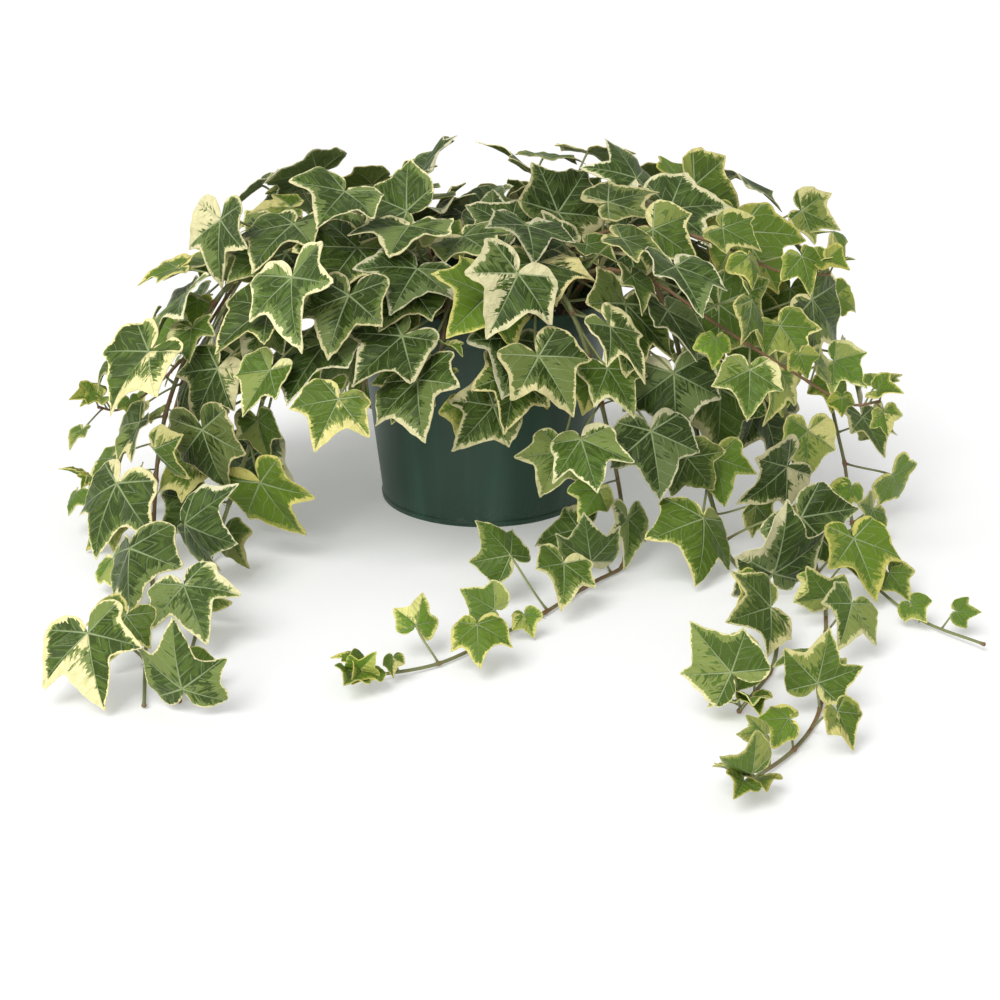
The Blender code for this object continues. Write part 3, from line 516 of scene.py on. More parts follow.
def random_direction(rng):
    while True:
        v = Vector((rng.uniform(-1, 1), rng.uniform(-1, 1), rng.uniform(-1, 1)))
        if 0.05 < v.length < 1:
            return v.normalized()


def spot_on_crown(place, rng):
    """A place near this one on, or a little under, the surface of the crown's dome."""
    middle = UP * CROWN_BASE
    around = (place - middle).normalized() + random_direction(rng) * rng.uniform(0.0, 0.6)
    scaled = Vector((around.x / CROWN_REACH.x, around.y / CROWN_REACH.y, around.z / CROWN_REACH.z))
    return middle + around * rng.uniform(0.80, 1.0) / scaled.length


def draw_size(vine, share, rng):
    """Length of a blade at this share of its stem: less towards the end, and a little by chance."""
    return vine.leaf * (1 - (1 - vine.taper) * share**SIZE_FALL) * rng.uniform(*SIZE_SPREAD)


def draw_blade(place, joint, normal, heading, size, rng):
    """A leaf whose blade faces along normal, with its tip as near to heading as that lets it."""
    tip = (heading - normal * heading.dot(normal)).normalized()
    return Leaf(place, joint, tip, normal, size, rng.uniform(*FOLD), rng.uniform(*DROOP),
                rng.uniform(*WAVE), rng.uniform(*SKEW))


def draw_leaf(vine, node, side, rng):
    """One possible leaf at this node: its stalk leans to the light, and its blade faces it, tip down."""
    place, tangent, share = node
    outward = (place - HEART).normalized()
    facing = TURN_FRONT if place.y < FRONT_HALF else 0.0
    light = (outward * TURN_OUT + UP * TURN_UP + FRONT * facing).normalized()
    across = tangent.cross(light)
    across = across.normalized() * side if across.length > 0.1 else random_direction(rng)
    size = draw_size(vine, share, rng)
    stalk = across * rng.uniform(0.0, 1.0) + light * rng.uniform(0.45, 1.2) + tangent * rng.uniform(-0.3, 0.6)
    reach = size * rng.uniform(*STALK_SPREAD)
    if place.z > CROWN_BASE + CROWN_ZONE and rng.random() < 0.5:
        stalk = spot_on_crown(place, rng) - place
        reach = min(stalk.length, size * LONGEST_STALK)
    joint = place + stalk.normalized() * reach
    normal = (light + random_direction(rng) * BLADE_TILT).normalized()
    heading = stalk.normalized() * 0.55 + tangent * 0.35 - UP * 0.75 + random_direction(rng) * TIP_SWING
    return draw_blade(place, joint, normal, heading, size, rng)


def stalk_comes_from_behind(leaf):
    """Whether the stalk reaches the blade from its underside and from the side of its notch."""
    back = (leaf.root - leaf.joint).normalized()
    return back.dot((leaf.tip + leaf.normal).normalized()) < -0.5 and back.dot(leaf.normal) < 0.05


def blade_height(leaf, x, y):
    """How far the blade stands off its flat at x, y: folded up along the midrib, drooping and waved."""
    reach = math.hypot(x, y)
    waves = math.cos(6 * math.atan2(x, y))
    return leaf.fold * abs(x) - leaf.droop * reach * reach - leaf.wave * reach * reach * waves


def blade_point(leaf, angle, radius):
    """A point of the blade, at an angle in radians from its tip and a share of its length from its joint."""
    x, y = radius * math.sin(angle), radius * math.cos(angle)
    x += leaf.skew * max(y, 0.0)
    z = blade_height(leaf, x, y)
    across = leaf.tip.cross(leaf.normal)
    return leaf.joint + (across * x + leaf.tip * y + leaf.normal * z) * leaf.size


def both_sides(half):
    """(angle, radius) of each point of a blade's outline, once round from one side of the notch."""
    right = [(math.radians(degrees), radius) for degrees, radius in half]
    return [(-angle, radius) for angle, radius in reversed(right[1:])] + right


def outline_of(leaf):
    if leaf.size >= MIDDLE_SIZE:
        return both_sides(GROWN_OUTLINE)
    return both_sides(YOUNG_OUTLINE if leaf.size < YOUNG_SIZE else MIDDLE_OUTLINE)


def trial_solid(leaf):
    """A thick copy of the blade, as points and faces, that keeps its neighbours away."""
    outline = both_sides(GROWN_OUTLINE)
    count = len(outline)
    sheet = [leaf.joint]
    sheet += [blade_point(leaf, angle, radius * MID_RING) for angle, radius in outline]
    sheet += [blade_point(leaf, angle, radius * EDGE_ROOM) for angle, radius in outline]
    offset = leaf.normal * BLADE_ROOM
    points = [p + offset for p in sheet] + [p - offset for p in sheet]
    under = len(sheet)
    faces = []
    for i in range(1, count):
        j = i + 1
        for tri in ((0, i, j), (i, i + count, j + count), (i, j + count, j)):
            faces.append(tri)
            faces.append(tuple(under + k for k in reversed(tri)))
        faces.append((i + count, j + count, under + j + count, under + i + count))
    return points, faces


def prism(a, b, radius):
    """Points and faces of a three-sided bar from a to b."""
    along = (b - a).normalized()
    side = along.orthogonal().normalized() * radius
    ring = [Matrix.Rotation(math.radians(120 * k), 3, along) @ side for k in range(3)]
    points = [a + r for r in ring] + [b + r for r in ring]
    faces = [(0, 1, 2), (3, 4, 5), (0, 1, 4, 3), (1, 2, 5, 4), (2, 0, 3, 5)]
    return points, faces


def tree_of(points, faces):
    """(search tree, lowest corner, highest corner) of a small mesh."""
    low = [min(p[k] for p in points) for k in range(3)]
    high = [max(p[k] for p in points) for k in range(3)]
    return BVHTree.FromPolygons(points, faces), low, high


def meets(first, second):
    for k in range(3):
        if first[1][k] > second[2][k] or second[1][k] > first[2][k]:
            return False
    return bool(first[0].overlap(second[0]))


def wall_radius(z):
    """Outer radius of the pot's wall at height z, without the rim."""
    return POT_BASE_RADIUS + POT_DRAFT * z


def pot_radius(z):
    """Outer radius of the pot at height z."""
    rim = RIM_STEP if z > POT_HEIGHT - RIM_HEIGHT else 0.0
    return wall_radius(z) + rim


def inside_pot(point):
    return point.z < POT_HEIGHT + POT_ROOM and math.hypot(point.x, point.y) < pot_radius(point.z) + POT_ROOM


def stem_obstacle(vine):
    path = stem_path(vine, TRIAL_SPACING)
    points, faces = [], []
    for (a, _), (b, _) in zip(path, path[1:]):
        more, sides = prism(a, b, vine.radius + STEM_ROOM)
        faces += [tuple(len(points) + i for i in face) for face in sides]
        points += more
    return tree_of(points, faces)


def pot_obstacle():
    """The pot's outer wall and rim, a little larger than they are, and open in the middle."""
    band = POT_HEIGHT - RIM_HEIGHT - POT_ROOM
    outside = RIM_STEP + POT_ROOM
    inside = RIM_STEP - POT_WALL - POT_ROOM
    top = POT_HEIGHT + POT_ROOM
    levels = ((-POT_ROOM, POT_ROOM), (band, POT_ROOM), (band, outside), (top, outside), (top, inside),
              (SOIL_TOP, inside))
    points, faces = [], []
    for height, proud in levels:
        radius = wall_radius(height) + proud
        for k in range(POT_SEGMENTS):
            angle = k * math.tau / POT_SEGMENTS
            points.append(Vector((radius * math.cos(angle), radius * math.sin(angle), height)))
    for ring in range(len(levels) - 1):
        for k in range(POT_SEGMENTS):
            a, b = ring * POT_SEGMENTS + k, ring * POT_SEGMENTS + (k + 1) % POT_SEGMENTS
            faces.append((a, b, b + POT_SEGMENTS, a + POT_SEGMENTS))
    return tree_of(points, faces)


def blade_is_in_pot(leaf):
    return inside_pot(leaf.joint) or any(inside_pot(blade_point(leaf, *spot)) for spot in outline_of(leaf))


def hides_pot(leaf):
    """Whether the blade hangs down over the part of the pot's front that shows under the crown."""
    for angle, radius in outline_of(leaf):
        spot = blade_point(leaf, angle, radius)
        low = spot.z < WINDOW_TOP - WINDOW_SLOPE * spot.x
        if low and spot.y < 0 and WINDOW_LEFT < spot.x < WINDOW_RIGHT and spot.z > WINDOW_FOOT:
            return True
    return False


def crown_depth(spot):
    """How far from the surface of the crown's dome this place is, as a share of its reach."""
    scaled = Vector((spot.x / CROWN_REACH.x, spot.y / CROWN_REACH.y, (spot.z - CROWN_BASE) / CROWN_REACH.z))
    return abs(scaled.length - 1)


def leaf_is_clear(blade, stalk, vine, stems, placed, pot):
    if meets(blade, pot) or meets(stalk, pot):
        return False
    for name, stem in stems.items():
        if meets(blade, stem) or (name != vine.name and meets(stalk, stem)):
            return False
    for other_blade, other_stalk, _ in placed:
        if meets(blade, other_blade) or meets(blade, other_stalk) or meets(stalk, other_blade):
            return False
        if meets(stalk, other_stalk):
            return False
    return True


def leaf_may_hang(leaf, points, vine):
    """Whether this try is above the floor, well attached, and neither in the pot nor over its bare front."""
    if min(p.z for p in points) < FLOOR_LIFT or not stalk_comes_from_behind(leaf):
        return False
    return not blade_is_in_pot(leaf) and (vine.over_pot or not hides_pot(leaf))


def blade_centre(leaf):
    return leaf.joint + leaf.tip * leaf.size * CENTRE_SHARE


def score_of(leaf, placed, rng):
    centre = blade_centre(leaf)
    room = min([(centre - other).length for _, _, other in placed], default=1.0)
    score = min(room, ENOUGH_ROOM) - LONG_STALK_COST * (leaf.joint - leaf.root).length + rng.uniform(0, LUCK)
    if centre.z > CROWN_BASE - CROWN_ZONE:
        score -= OFF_DOME_COST * crown_depth(centre)
    return score


def obstacles_of(leaf, solid):
    """(search trees of the blade and the stalk with the room round them, centre of the blade)."""
    stalk = tree_of(*prism(leaf.root, leaf.joint, STALK_RADIUS + STALK_ROOM))
    return tree_of(*solid), stalk, blade_centre(leaf)


def best_leaf(vine, node, side, rng, stems, placed, pot, tries=TRIALS, draw=draw_leaf):
    """(leaf, its blade, stalk and centre as obstacles) of the best try at this node, or None."""
    best = None
    for _ in range(tries):
        leaf = draw(vine, node, side, rng)
        solid = trial_solid(leaf)
        if not leaf_may_hang(leaf, solid[0], vine):
            continue
        score = score_of(leaf, placed, rng)
        if best is not None and score <= best[0]:
            continue
        blade, stalk, centre = obstacles_of(leaf, solid)
        if leaf_is_clear(blade, stalk, vine, stems, placed, pot):
            best = (score, leaf, (blade, stalk, centre))
    return best[1:] if best else None


def grow_leaves(vines):
    """Places the leaves in rounds, one for each vine in turn, so that no vine takes all the room."""
    rng = random.Random(LEAF_SEED)
    stems = {vine.name: stem_obstacle(vine) for vine in vines}
    pot = pot_obstacle()
    placed, leaves = [], {vine.name: [] for vine in vines}
    queues = {vine.name: leaf_nodes(vine) for vine in vines}
    for turn in range(max(len(nodes) for nodes in queues.values())):
        for vine in vines:
            if turn >= len(queues[vine.name]):
                continue
            side = 1 if turn % 2 else -1
            found = best_leaf(vine, queues[vine.name][turn], side, rng, stems, placed, pot)
            if found:
                leaves[vine.name].append(found[0])
                placed.append(found[1])
    return leaves, stems, placed, pot


def draw_upturned_leaf(vine, node, side, rng):
    """One possible leaf on a stem that lies down: its stalk stands up, and its blade faces up and out."""
    place, tangent, share = node
    size = draw_size(vine, share, rng) * LYING_SIZE[vine.name]
    across = tangent.cross(UP).normalized() * side
    stalk = (UP + across * rng.uniform(0.1, 1.0) + tangent * rng.uniform(-0.3, 0.5)).normalized()
    joint = place + stalk * size * rng.uniform(0.6, 1.3)
    facing = FRONT if place.y < FRONT_HALF else -FRONT
    normal = (UP * 0.7 + facing * 0.8 + random_direction(rng) * BLADE_TILT).normalized()
    heading = stalk * 0.5 + across * 0.6 + tangent * 0.4 + random_direction(rng)
    return draw_blade(place, joint, normal, heading, size, rng)


def lying_nodes(vine, leaves):
    """(place, direction, share of the length) along a stem that lies down, wherever it has no leaf yet."""
    curve, length = route_curve(vine, NODE_SPACING)
    last = len(curve) - 1
    nodes = []
    way = vine.first
    while way < length - LYING_GAP * 0.3:
        index = min(last - 1, round(way / length * last))
        place = curve[index]
        bare = all((leaf.root - place).length > LYING_GAP * 0.5 for leaf in leaves)
        if place.z < LYING_HEIGHT and bare:
            nodes.append((place, (curve[index + 1] - place).normalized(), way / length))
        way += LYING_GAP
    return nodes


def hang_sides(vines, leaves, stems, pot):
    """Lets the sides of some blades hang back from their midribs, where their neighbours leave them room."""
    rng = random.Random(LEAF_SEED + 2)
    spots = [(vine, number) for vine in vines for number in range(len(leaves[vine.name]))]
    grown = [leaves[vine.name][number] for vine, number in spots]
    placed = [obstacles_of(leaf, trial_solid(leaf)) for leaf in grown]
    for spot, (vine, number) in enumerate(spots):
        often = HANGING_CROWN if vine.name.startswith("vine_crown") else HANGING
        chosen = rng.random() < often
        others = placed[:spot] + placed[spot + 1:]
        for _ in range(HANG_TRIES if chosen else 0):
            leaf = grown[spot]
            turn = Matrix.Rotation(rng.uniform(-HANG_ROLL, HANG_ROLL), 3, leaf.tip)
            hung = leaf._replace(
                normal=turn @ leaf.normal, fold=rng.uniform(*HANG_FOLD), droop=rng.uniform(*HANG_DROOP))
            solid = trial_solid(hung)
            if not leaf_may_hang(hung, solid[0], vine):
                continue
            blade, stalk, centre = obstacles_of(hung, solid)
            if leaf_is_clear(blade, stalk, vine, stems, others, pot):
                leaves[vine.name][number] = hung
                placed[spot] = (blade, stalk, centre)
                break


@lru_cache(maxsize=1)
def grown_plant():
    """(vines, leaves of each vine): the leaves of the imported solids, and small ones in their gaps."""
    vines = all_vines()
    leaves, stems, placed, pot = grow_leaves(vines)
    rng = random.Random(LEAF_SEED + 1)
    small = [vine._replace(leaf=vine.leaf * FILL_SIZE) for vine in vines]
    queues = {vine.name: leaf_nodes(vine) for vine in vines}
    for turn in range(max(len(nodes) for nodes in queues.values()) - 1):
        for vine in small:
            nodes = queues[vine.name]
            if turn + 1 >= len(nodes):
                continue
            (start, way, share_a), (end, _, share_b) = nodes[turn:turn + 2]
            node = (start.lerp(end, 0.5), way, (share_a + share_b) / 2)
            side = -1 if turn % 2 else 1
            found = best_leaf(vine, node, side, rng, stems, placed, pot, FILL_TRIALS)
            if found:
                leaves[vine.name].append(found[0])
                placed.append(found[1])
    for vine in vines:
        lying = lying_nodes(vine, leaves[vine.name]) if vine.name in LYING_SIZE else ()
        for number, node in enumerate(lying):
            side = 1 if number % 2 else -1
            found = best_leaf(vine, node, side, rng, stems, placed, pot, FILL_TRIALS, draw_upturned_leaf)
            if found:
                leaves[vine.name].append(found[0])
                placed.append(found[1])
    hang_sides(vines, leaves, stems, pot)
    for vine in vines:
        if vine.name not in CUT_ENDS:
            leaves[vine.name] += tip_leaves(vine, rng)
    return vines, leaves


def link(tree, socket, value):
    """Fills an input of a shader node with a value, or links it to another node's output."""
    if isinstance(value, bpy.types.NodeSocket):
        tree.links.new(value, socket)
    elif socket.type == "RGBA" and len(value) == 3:
        socket.default_value = (*value, 1.0)
    else:
        socket.default_value = value


def add_node(tree, kind, inputs=None, **settings):
    made = tree.nodes.new(kind)
    for name, value in settings.items():
        setattr(made, name, value)
    for name, value in (inputs or {}).items():
        link(tree, made.inputs[name], value)
    return made


def sum_of(tree, operation, *values, clamp=False):
    """The output of a Math node on these numbers or outputs."""
    made = add_node(tree, "ShaderNodeMath", operation=operation, use_clamp=clamp)
    for socket, value in zip(made.inputs, values):
        link(tree, socket, value)
    return made.outputs[0]


def ramp(tree, value, low, high, to_low=0.0, to_high=1.0, kind="SMOOTHSTEP"):
    """This value, moved smoothly from the range low to high into the range to_low to to_high."""
    inputs = {"Value": value, "From Min": low, "From Max": high, "To Min": to_low, "To Max": to_high}
    return add_node(tree, "ShaderNodeMapRange", inputs, interpolation_type=kind).outputs["Result"]


def mix(tree, factor, first, second, blend="MIX"):
    made = add_node(tree, "ShaderNodeMix", data_type="RGBA", blend_type=blend, clamp_factor=True)
    link(tree, made.inputs["Factor"], factor)
    for socket, value in zip([s for s in made.inputs if s.type == "RGBA"], (first, second)):
        link(tree, socket, value)
    return next(s for s in made.outputs if s.type == "RGBA")


def join_vector(tree, x, y, z):
    return add_node(tree, "ShaderNodeCombineXYZ", {"X": x, "Y": y, "Z": z}).outputs[0]


def noise_at(tree, vector, scale, detail=2.0, roughness=0.55):
    return add_node(tree, "ShaderNodeTexNoise", {
        "Vector": vector, "Scale": scale, "Detail": detail, "Roughness": roughness}).outputs["Fac"]


def cells_at(tree, vector, scale, feature="F1"):
    return add_node(tree, "ShaderNodeTexVoronoi", {"Vector": vector, "Scale": scale}, feature=feature)


def new_group(name, inputs, outputs):
    """(node tree, its inputs, its outputs) of a shader node group, whose sockets are numbers or vectors."""
    tree = bpy.data.node_groups.new(name, "ShaderNodeTree")
    for title in inputs:
        kind = "NodeSocketVector" if title in ("Vector", "Normal") else "NodeSocketFloat"
        tree.interface.new_socket(name=title, in_out="INPUT", socket_type=kind)
    for title in outputs:
        tree.interface.new_socket(name=title, in_out="OUTPUT", socket_type="NodeSocketFloat")
    return tree, tree.nodes.new("NodeGroupInput").outputs, tree.nodes.new("NodeGroupOutput").inputs


def use_group(tree, name, inputs):
    made = add_node(tree, "ShaderNodeGroup", node_tree=bpy.data.node_groups[name])
    for title, value in inputs.items():
        link(tree, made.inputs[title], value)
    return made.outputs


def make_variegation_group():
    """Masks for the cream, sage and dark parts of a blade, jagged along its side veins."""
    tree, given, result = new_group("Variegation", (
        "Across", "Along", "Rim", "Seed", "Cream Width", "Sage Width"), ("Cream", "Sage", "Deep"))
    side = sum_of(tree, "ABSOLUTE", given["Across"])
    rib = sum_of(tree, "MULTIPLY_ADD", side, -0.85, given["Along"])
    teeth = join_vector(
        tree, sum_of(tree, "MULTIPLY", rib, 34.0), sum_of(tree, "MULTIPLY", side, 8.0), given["Seed"])
    fine = ramp(tree, noise_at(tree, teeth, 1.0, 3.0, 0.7), 0.32, 0.68, kind="LINEAR")
    cells = cells_at(tree, teeth, 0.8).outputs["Color"]
    parts = add_node(tree, "ShaderNodeSeparateColor", {"Color": cells}).outputs
    broad = join_vector(
        tree, sum_of(tree, "MULTIPLY", rib, 6.0), sum_of(tree, "MULTIPLY", side, 4.0), given["Seed"])
    broad = ramp(tree, noise_at(tree, broad, 1.0, 1.5), 0.32, 0.68, kind="LINEAR")
    jagged = sum_of(tree, "ADD", sum_of(tree, "MULTIPLY", fine, 0.6), sum_of(tree, "MULTIPLY", parts[0], 0.4))
    reach = sum_of(tree, "MULTIPLY_ADD", jagged, 0.95, sum_of(tree, "MULTIPLY_ADD", broad, 0.75, 0.05))
    least = sum_of(tree, "MULTIPLY", jagged, ramp(tree, broad, 0.1, 0.9, 0.008, 0.034, kind="LINEAR"))
    cream = sum_of(tree, "MULTIPLY_ADD", reach, given["Cream Width"], least)
    link(tree, result["Cream"], ramp(tree, sum_of(tree, "SUBTRACT", cream, given["Rim"]), -0.002, 0.006))
    far = sum_of(tree, "MULTIPLY_ADD", parts[1], 0.8, sum_of(tree, "MULTIPLY_ADD", fine, 0.45, -0.05))
    far = sum_of(tree, "MULTIPLY_ADD", broad, 0.6, far)
    sage = sum_of(tree, "SUBTRACT", sum_of(tree, "MULTIPLY", far, given["Sage Width"]), given["Rim"])
    link(tree, result["Sage"], ramp(tree, sage, -0.004, 0.010))
    islands = sum_of(tree, "MULTIPLY_ADD", parts[2], 0.5, sum_of(tree, "MULTIPLY", broad, 0.6))
    link(tree, result["Deep"], ramp(tree, islands, 0.34, 0.56))


def make_vein_group():
    """A mask of a blade's veins, and the height of its surface with their grooves and the puckers between."""
    tree, given, result = new_group(
        "Leaf Veins", ("Across", "Along", "Rim", "Seed"), ("Main", "Fine", "Height"))
    side = sum_of(tree, "ABSOLUTE", given["Across"])
    width = ramp(tree, given["Along"], 0.0, 0.95, 0.026, 0.007, kind="LINEAR")
    main = ramp(tree, side, sum_of(tree, "MULTIPLY", width, 0.12), width, 1.0, 0.0)
    main = sum_of(tree, "MULTIPLY", main, ramp(tree, given["Along"], 0.15, 0.95, 1.0, 0.45))
    place = join_vector(tree, side, given["Along"], given["Seed"])
    wander = sum_of(tree, "MULTIPLY", noise_at(tree, place, 5.0, 1.0), 0.09)
    rib = sum_of(tree, "ADD", sum_of(tree, "MULTIPLY_ADD", side, -0.80, given["Along"]), wander)
    count = sum_of(tree, "MULTIPLY_ADD", given["Seed"], 0.37, sum_of(tree, "DIVIDE", rib, 0.185))
    beat = sum_of(tree, "ABSOLUTE", sum_of(tree, "SUBTRACT", sum_of(tree, "FRACT", count), 0.5))
    ribs = ramp(tree, beat, 0.012, 0.062, 1.0, 0.0)
    ribs = sum_of(tree, "MULTIPLY", ribs, ramp(tree, side, 0.0, 0.42, 1.0, 0.35))
    ribs = sum_of(tree, "MULTIPLY", ribs, ramp(tree, given["Along"], 0.03, 0.10))
    net = cells_at(tree, place, 17.0, "DISTANCE_TO_EDGE").outputs["Distance"]
    net = ramp(tree, net, 0.0, 0.09, 1.0, 0.0)
    link(tree, result["Main"], main)
    link(tree, result["Fine"], sum_of(tree, "MAXIMUM", ribs, sum_of(tree, "MULTIPLY", net, 0.16)))
    pucker = sum_of(tree, "MULTIPLY", beat, -1.1)
    height = sum_of(tree, "MULTIPLY_ADD", net, -0.18, sum_of(tree, "MULTIPLY", ribs, -0.35))
    height = sum_of(tree, "SUBTRACT", height, main)
    link(tree, result["Height"], sum_of(tree, "ADD", height, pucker))


def make_mottle_group():
    """Soft blotches, small specks and grain that stems, pot and soil share."""
    tree, given, result = new_group("Mottle", ("Vector", "Blotch Scale", "Speck Scale", "Speck Size"),
                                    ("Blotches", "Specks", "Grain"))
    clouds = noise_at(tree, given["Vector"], given["Blotch Scale"], 3.0)
    link(tree, result["Blotches"], ramp(tree, clouds, 0.3, 0.7))
    cells = cells_at(tree, given["Vector"], given["Speck Scale"])
    chosen = add_node(tree, "ShaderNodeSeparateColor", {"Color": cells.outputs["Color"]}).outputs[0]
    size = sum_of(tree, "MULTIPLY", given["Speck Size"], ramp(tree, chosen, 0.72, 1.0))
    link(tree, result["Specks"], ramp(tree, cells.outputs["Distance"], size, 0.0, 0.0, 1.0))
    grain = sum_of(tree, "MULTIPLY", given["Speck Scale"], 2.5)
    link(tree, result["Grain"], noise_at(tree, given["Vector"], grain, 2.0, 0.7))


def new_material(name):
    """(material, node tree, its Principled shader)."""
    material = bpy.data.materials.new(name)
    material.use_nodes = True
    return material, material.node_tree, material.node_tree.nodes["Principled BSDF"]


def bumped(tree, height, distance, strength=1.0):
    inputs = {"Height": height, "Distance": distance, "Strength": strength}
    return add_node(tree, "ShaderNodeBump", inputs).outputs[0]


def attribute(tree, name, output="Fac"):
    return add_node(tree, "ShaderNodeAttribute", attribute_name=name).outputs[output]


def leaf_inputs(tree):
    """The place on a blade, and its (cream width, sage width, pattern seed) and (age, shade, warmth)."""
    spot, patch, tone = (
        add_node(tree, "ShaderNodeSeparateXYZ", {"Vector": vector}).outputs
        for vector in (add_node(tree, "ShaderNodeUVMap", uv_map="veins").outputs[0],
                       attribute(tree, "leaf_patch", "Vector"), attribute(tree, "leaf_tone", "Vector")))
    place = {"Across": spot[0], "Along": spot[1], "Rim": attribute(tree, "leaf_rim"), "Seed": patch[2]}
    return place, patch, tone


def leaf_colours(tree, look, given, patch, tone, paler):
    """(colour, height) of a blade: paler is how much of the underside's colour shows."""
    masks = use_group(tree, "Variegation", {**given, "Cream Width": patch[0], "Sage Width": patch[1]})
    veins = use_group(tree, "Leaf Veins", given)
    base = mix(tree, masks["Deep"], look.middle, look.deep)
    base = mix(tree, masks["Sage"], base, look.sage)
    base = mix(tree, paler, base, look.underside)
    spot = join_vector(tree, given["Across"], given["Along"], given["Seed"])
    cloudy = noise_at(tree, spot, 11.0, 3.0, 0.65)
    cream = mix(tree, ramp(tree, cloudy, 0.42, 0.72, 0.0, 0.5), look.cream, look.cream_green)
    base = mix(tree, masks["Cream"], base, cream)
    young = mix(tree, sum_of(tree, "MULTIPLY", masks["Sage"], 0.5), look.young, look.young_margin)
    young = mix(tree, masks["Cream"], young, look.young_margin)
    base = mix(tree, tone[0], base, young)
    shade = ramp(tree, tone[1], 0.0, 1.0, 0.72, 1.22, kind="LINEAR")
    base = mix(tree, 1.0, base, join_vector(tree, shade, shade, shade), "MULTIPLY")
    base = mix(tree, tone[2], base, (1.0, 0.93, 0.62), "MULTIPLY")
    plain = ramp(tree, masks["Cream"], 0.0, 1.0, 1.0, 0.35, kind="LINEAR")
    show = sum_of(tree, "MAXIMUM", sum_of(tree, "MULTIPLY", veins["Main"], 0.85),
                  sum_of(tree, "MULTIPLY", veins["Fine"], 0.42))
    return mix(tree, sum_of(tree, "MULTIPLY", show, plain), base, look.vein), veins["Height"]


def make_leaf_materials(look):
    """The upper side of the leaves, and their paler, duller underside."""
    made = []
    sides = (("leaf_upper", 0.0, look.gloss, 1.0), ("leaf_underside", 0.62, 0.62, -1.0))
    for name, paler, rough, up in sides:
        material, tree, shader = new_material(name)
        given, patch, tone = leaf_inputs(tree)
        base, relief = leaf_colours(tree, look, given, patch, tone, paler)
        link(tree, shader.inputs["Base Color"], base)
        sheen = noise_at(tree, add_node(tree, "ShaderNodeTexCoord").outputs["Object"], 160.0, 2.0)
        link(tree, shader.inputs["Roughness"], ramp(tree, sheen, 0.3, 0.7, rough - 0.05, rough + 0.08))
        height = sum_of(tree, "MULTIPLY_ADD", sheen, 0.5, relief)
        height = sum_of(tree, "MULTIPLY", height, up)
        link(tree, shader.inputs["Normal"], bumped(tree, height, look.relief))
        shader.inputs["Specular IOR Level"].default_value = look.shine if up > 0 else look.shine * 0.6
        made.append(material)
    return made


def make_stem_material(look):
    material, tree, shader = new_material("ivy_stem")
    place = add_node(tree, "ShaderNodeTexCoord").outputs["Object"]
    mottle = use_group(tree, "Mottle", {"Vector": place, "Blotch Scale": 90.0, "Speck Scale": 700.0,
                                        "Speck Size": 0.45})
    tone = attribute(tree, "stem_tone")
    base = mix(tree, ramp(tree, tone, 0.0, 0.5), look.green, look.olive)
    brown = sum_of(tree, "ADD", tone, ramp(tree, mottle["Blotches"], 0.0, 1.0, -0.22, 0.22, kind="LINEAR"))
    base = mix(tree, ramp(tree, brown, 0.48, 1.0), base, look.brown)
    base = mix(tree, sum_of(tree, "MULTIPLY", mottle["Specks"], 0.5), base, (0.42, 0.36, 0.24))
    base = mix(tree, ramp(tree, mottle["Grain"], 0.35, 0.75, 0.0, 0.35), base, (0.06, 0.05, 0.03))
    link(tree, shader.inputs["Base Color"], base)
    link(tree, shader.inputs["Roughness"], ramp(tree, mottle["Grain"], 0.2, 0.8, 0.45, 0.65))
    link(tree, shader.inputs["Normal"], bumped(tree, mottle["Grain"], 0.00025, 0.8))
    return material


def make_pot_material(look):
    """Dark green plastic with faint upright streaks whose lighter colour is a painted sheen, a haze of
    painted sheen, specks, and some dust near the foot.
    """
    material, tree, shader = new_material("pot_green_plastic")
    place = add_node(tree, "ShaderNodeTexCoord").outputs["Object"]
    mottle = use_group(tree, "Mottle", {"Vector": place, "Blotch Scale": 14.0, "Speck Scale": 260.0,
                                        "Speck Size": 0.10})
    spot = add_node(tree, "ShaderNodeSeparateXYZ", {"Vector": place}).outputs
    upright = join_vector(
        tree, *(sum_of(tree, "MULTIPLY", along, often) for along, often in zip(spot, (34.0, 34.0, 3.0))))
    # Upright streaks: they vary the roughness and the relief, and their lighter colour is a painted upright
    # sheen
    upright_sheen_streaks = ramp(tree, noise_at(tree, upright, 1.0, 3.0), 0.36, 0.70)
    low = ramp(tree, spot[2], 0.0, 0.018, 1.0, 0.0)
    dust_and_sheen = sum_of(tree, "MULTIPLY", low, ramp(tree, mottle["Grain"], 0.5, 0.75, 0.0, 0.14))
    # A lighter haze over the streaks is a painted sheen, and it goes in with the real dust near the foot
    hazy_sheen = sum_of(tree, "MULTIPLY", mottle["Blotches"], upright_sheen_streaks)
    dust_and_sheen = sum_of(tree, "ADD", dust_and_sheen, ramp(tree, hazy_sheen, 0.2, 1.0, 0.0, 0.07))
    # Painted sheen: the streaks are drawn in a lighter green
    base = mix(tree, upright_sheen_streaks, look.green, tuple(1.55 * value for value in look.green))
    base = mix(tree, dust_and_sheen, base, look.dust_and_sheen)
    base = mix(tree, sum_of(tree, "MULTIPLY", mottle["Specks"], 0.6), base, look.dust_and_sheen)
    link(tree, shader.inputs["Base Color"], base)
    rough = ramp(tree, upright_sheen_streaks, 0.0, 1.0, look.roughness - 0.04, look.roughness + 0.06)
    link(tree, shader.inputs["Roughness"], sum_of(tree, "MULTIPLY_ADD", dust_and_sheen, 0.8, rough))
    height = sum_of(tree, "MULTIPLY_ADD", mottle["Grain"], 0.4, upright_sheen_streaks)
    link(tree, shader.inputs["Normal"], bumped(tree, height, 0.00012, 0.6))
    shader.inputs["Specular IOR Level"].default_value = look.shine
    return material


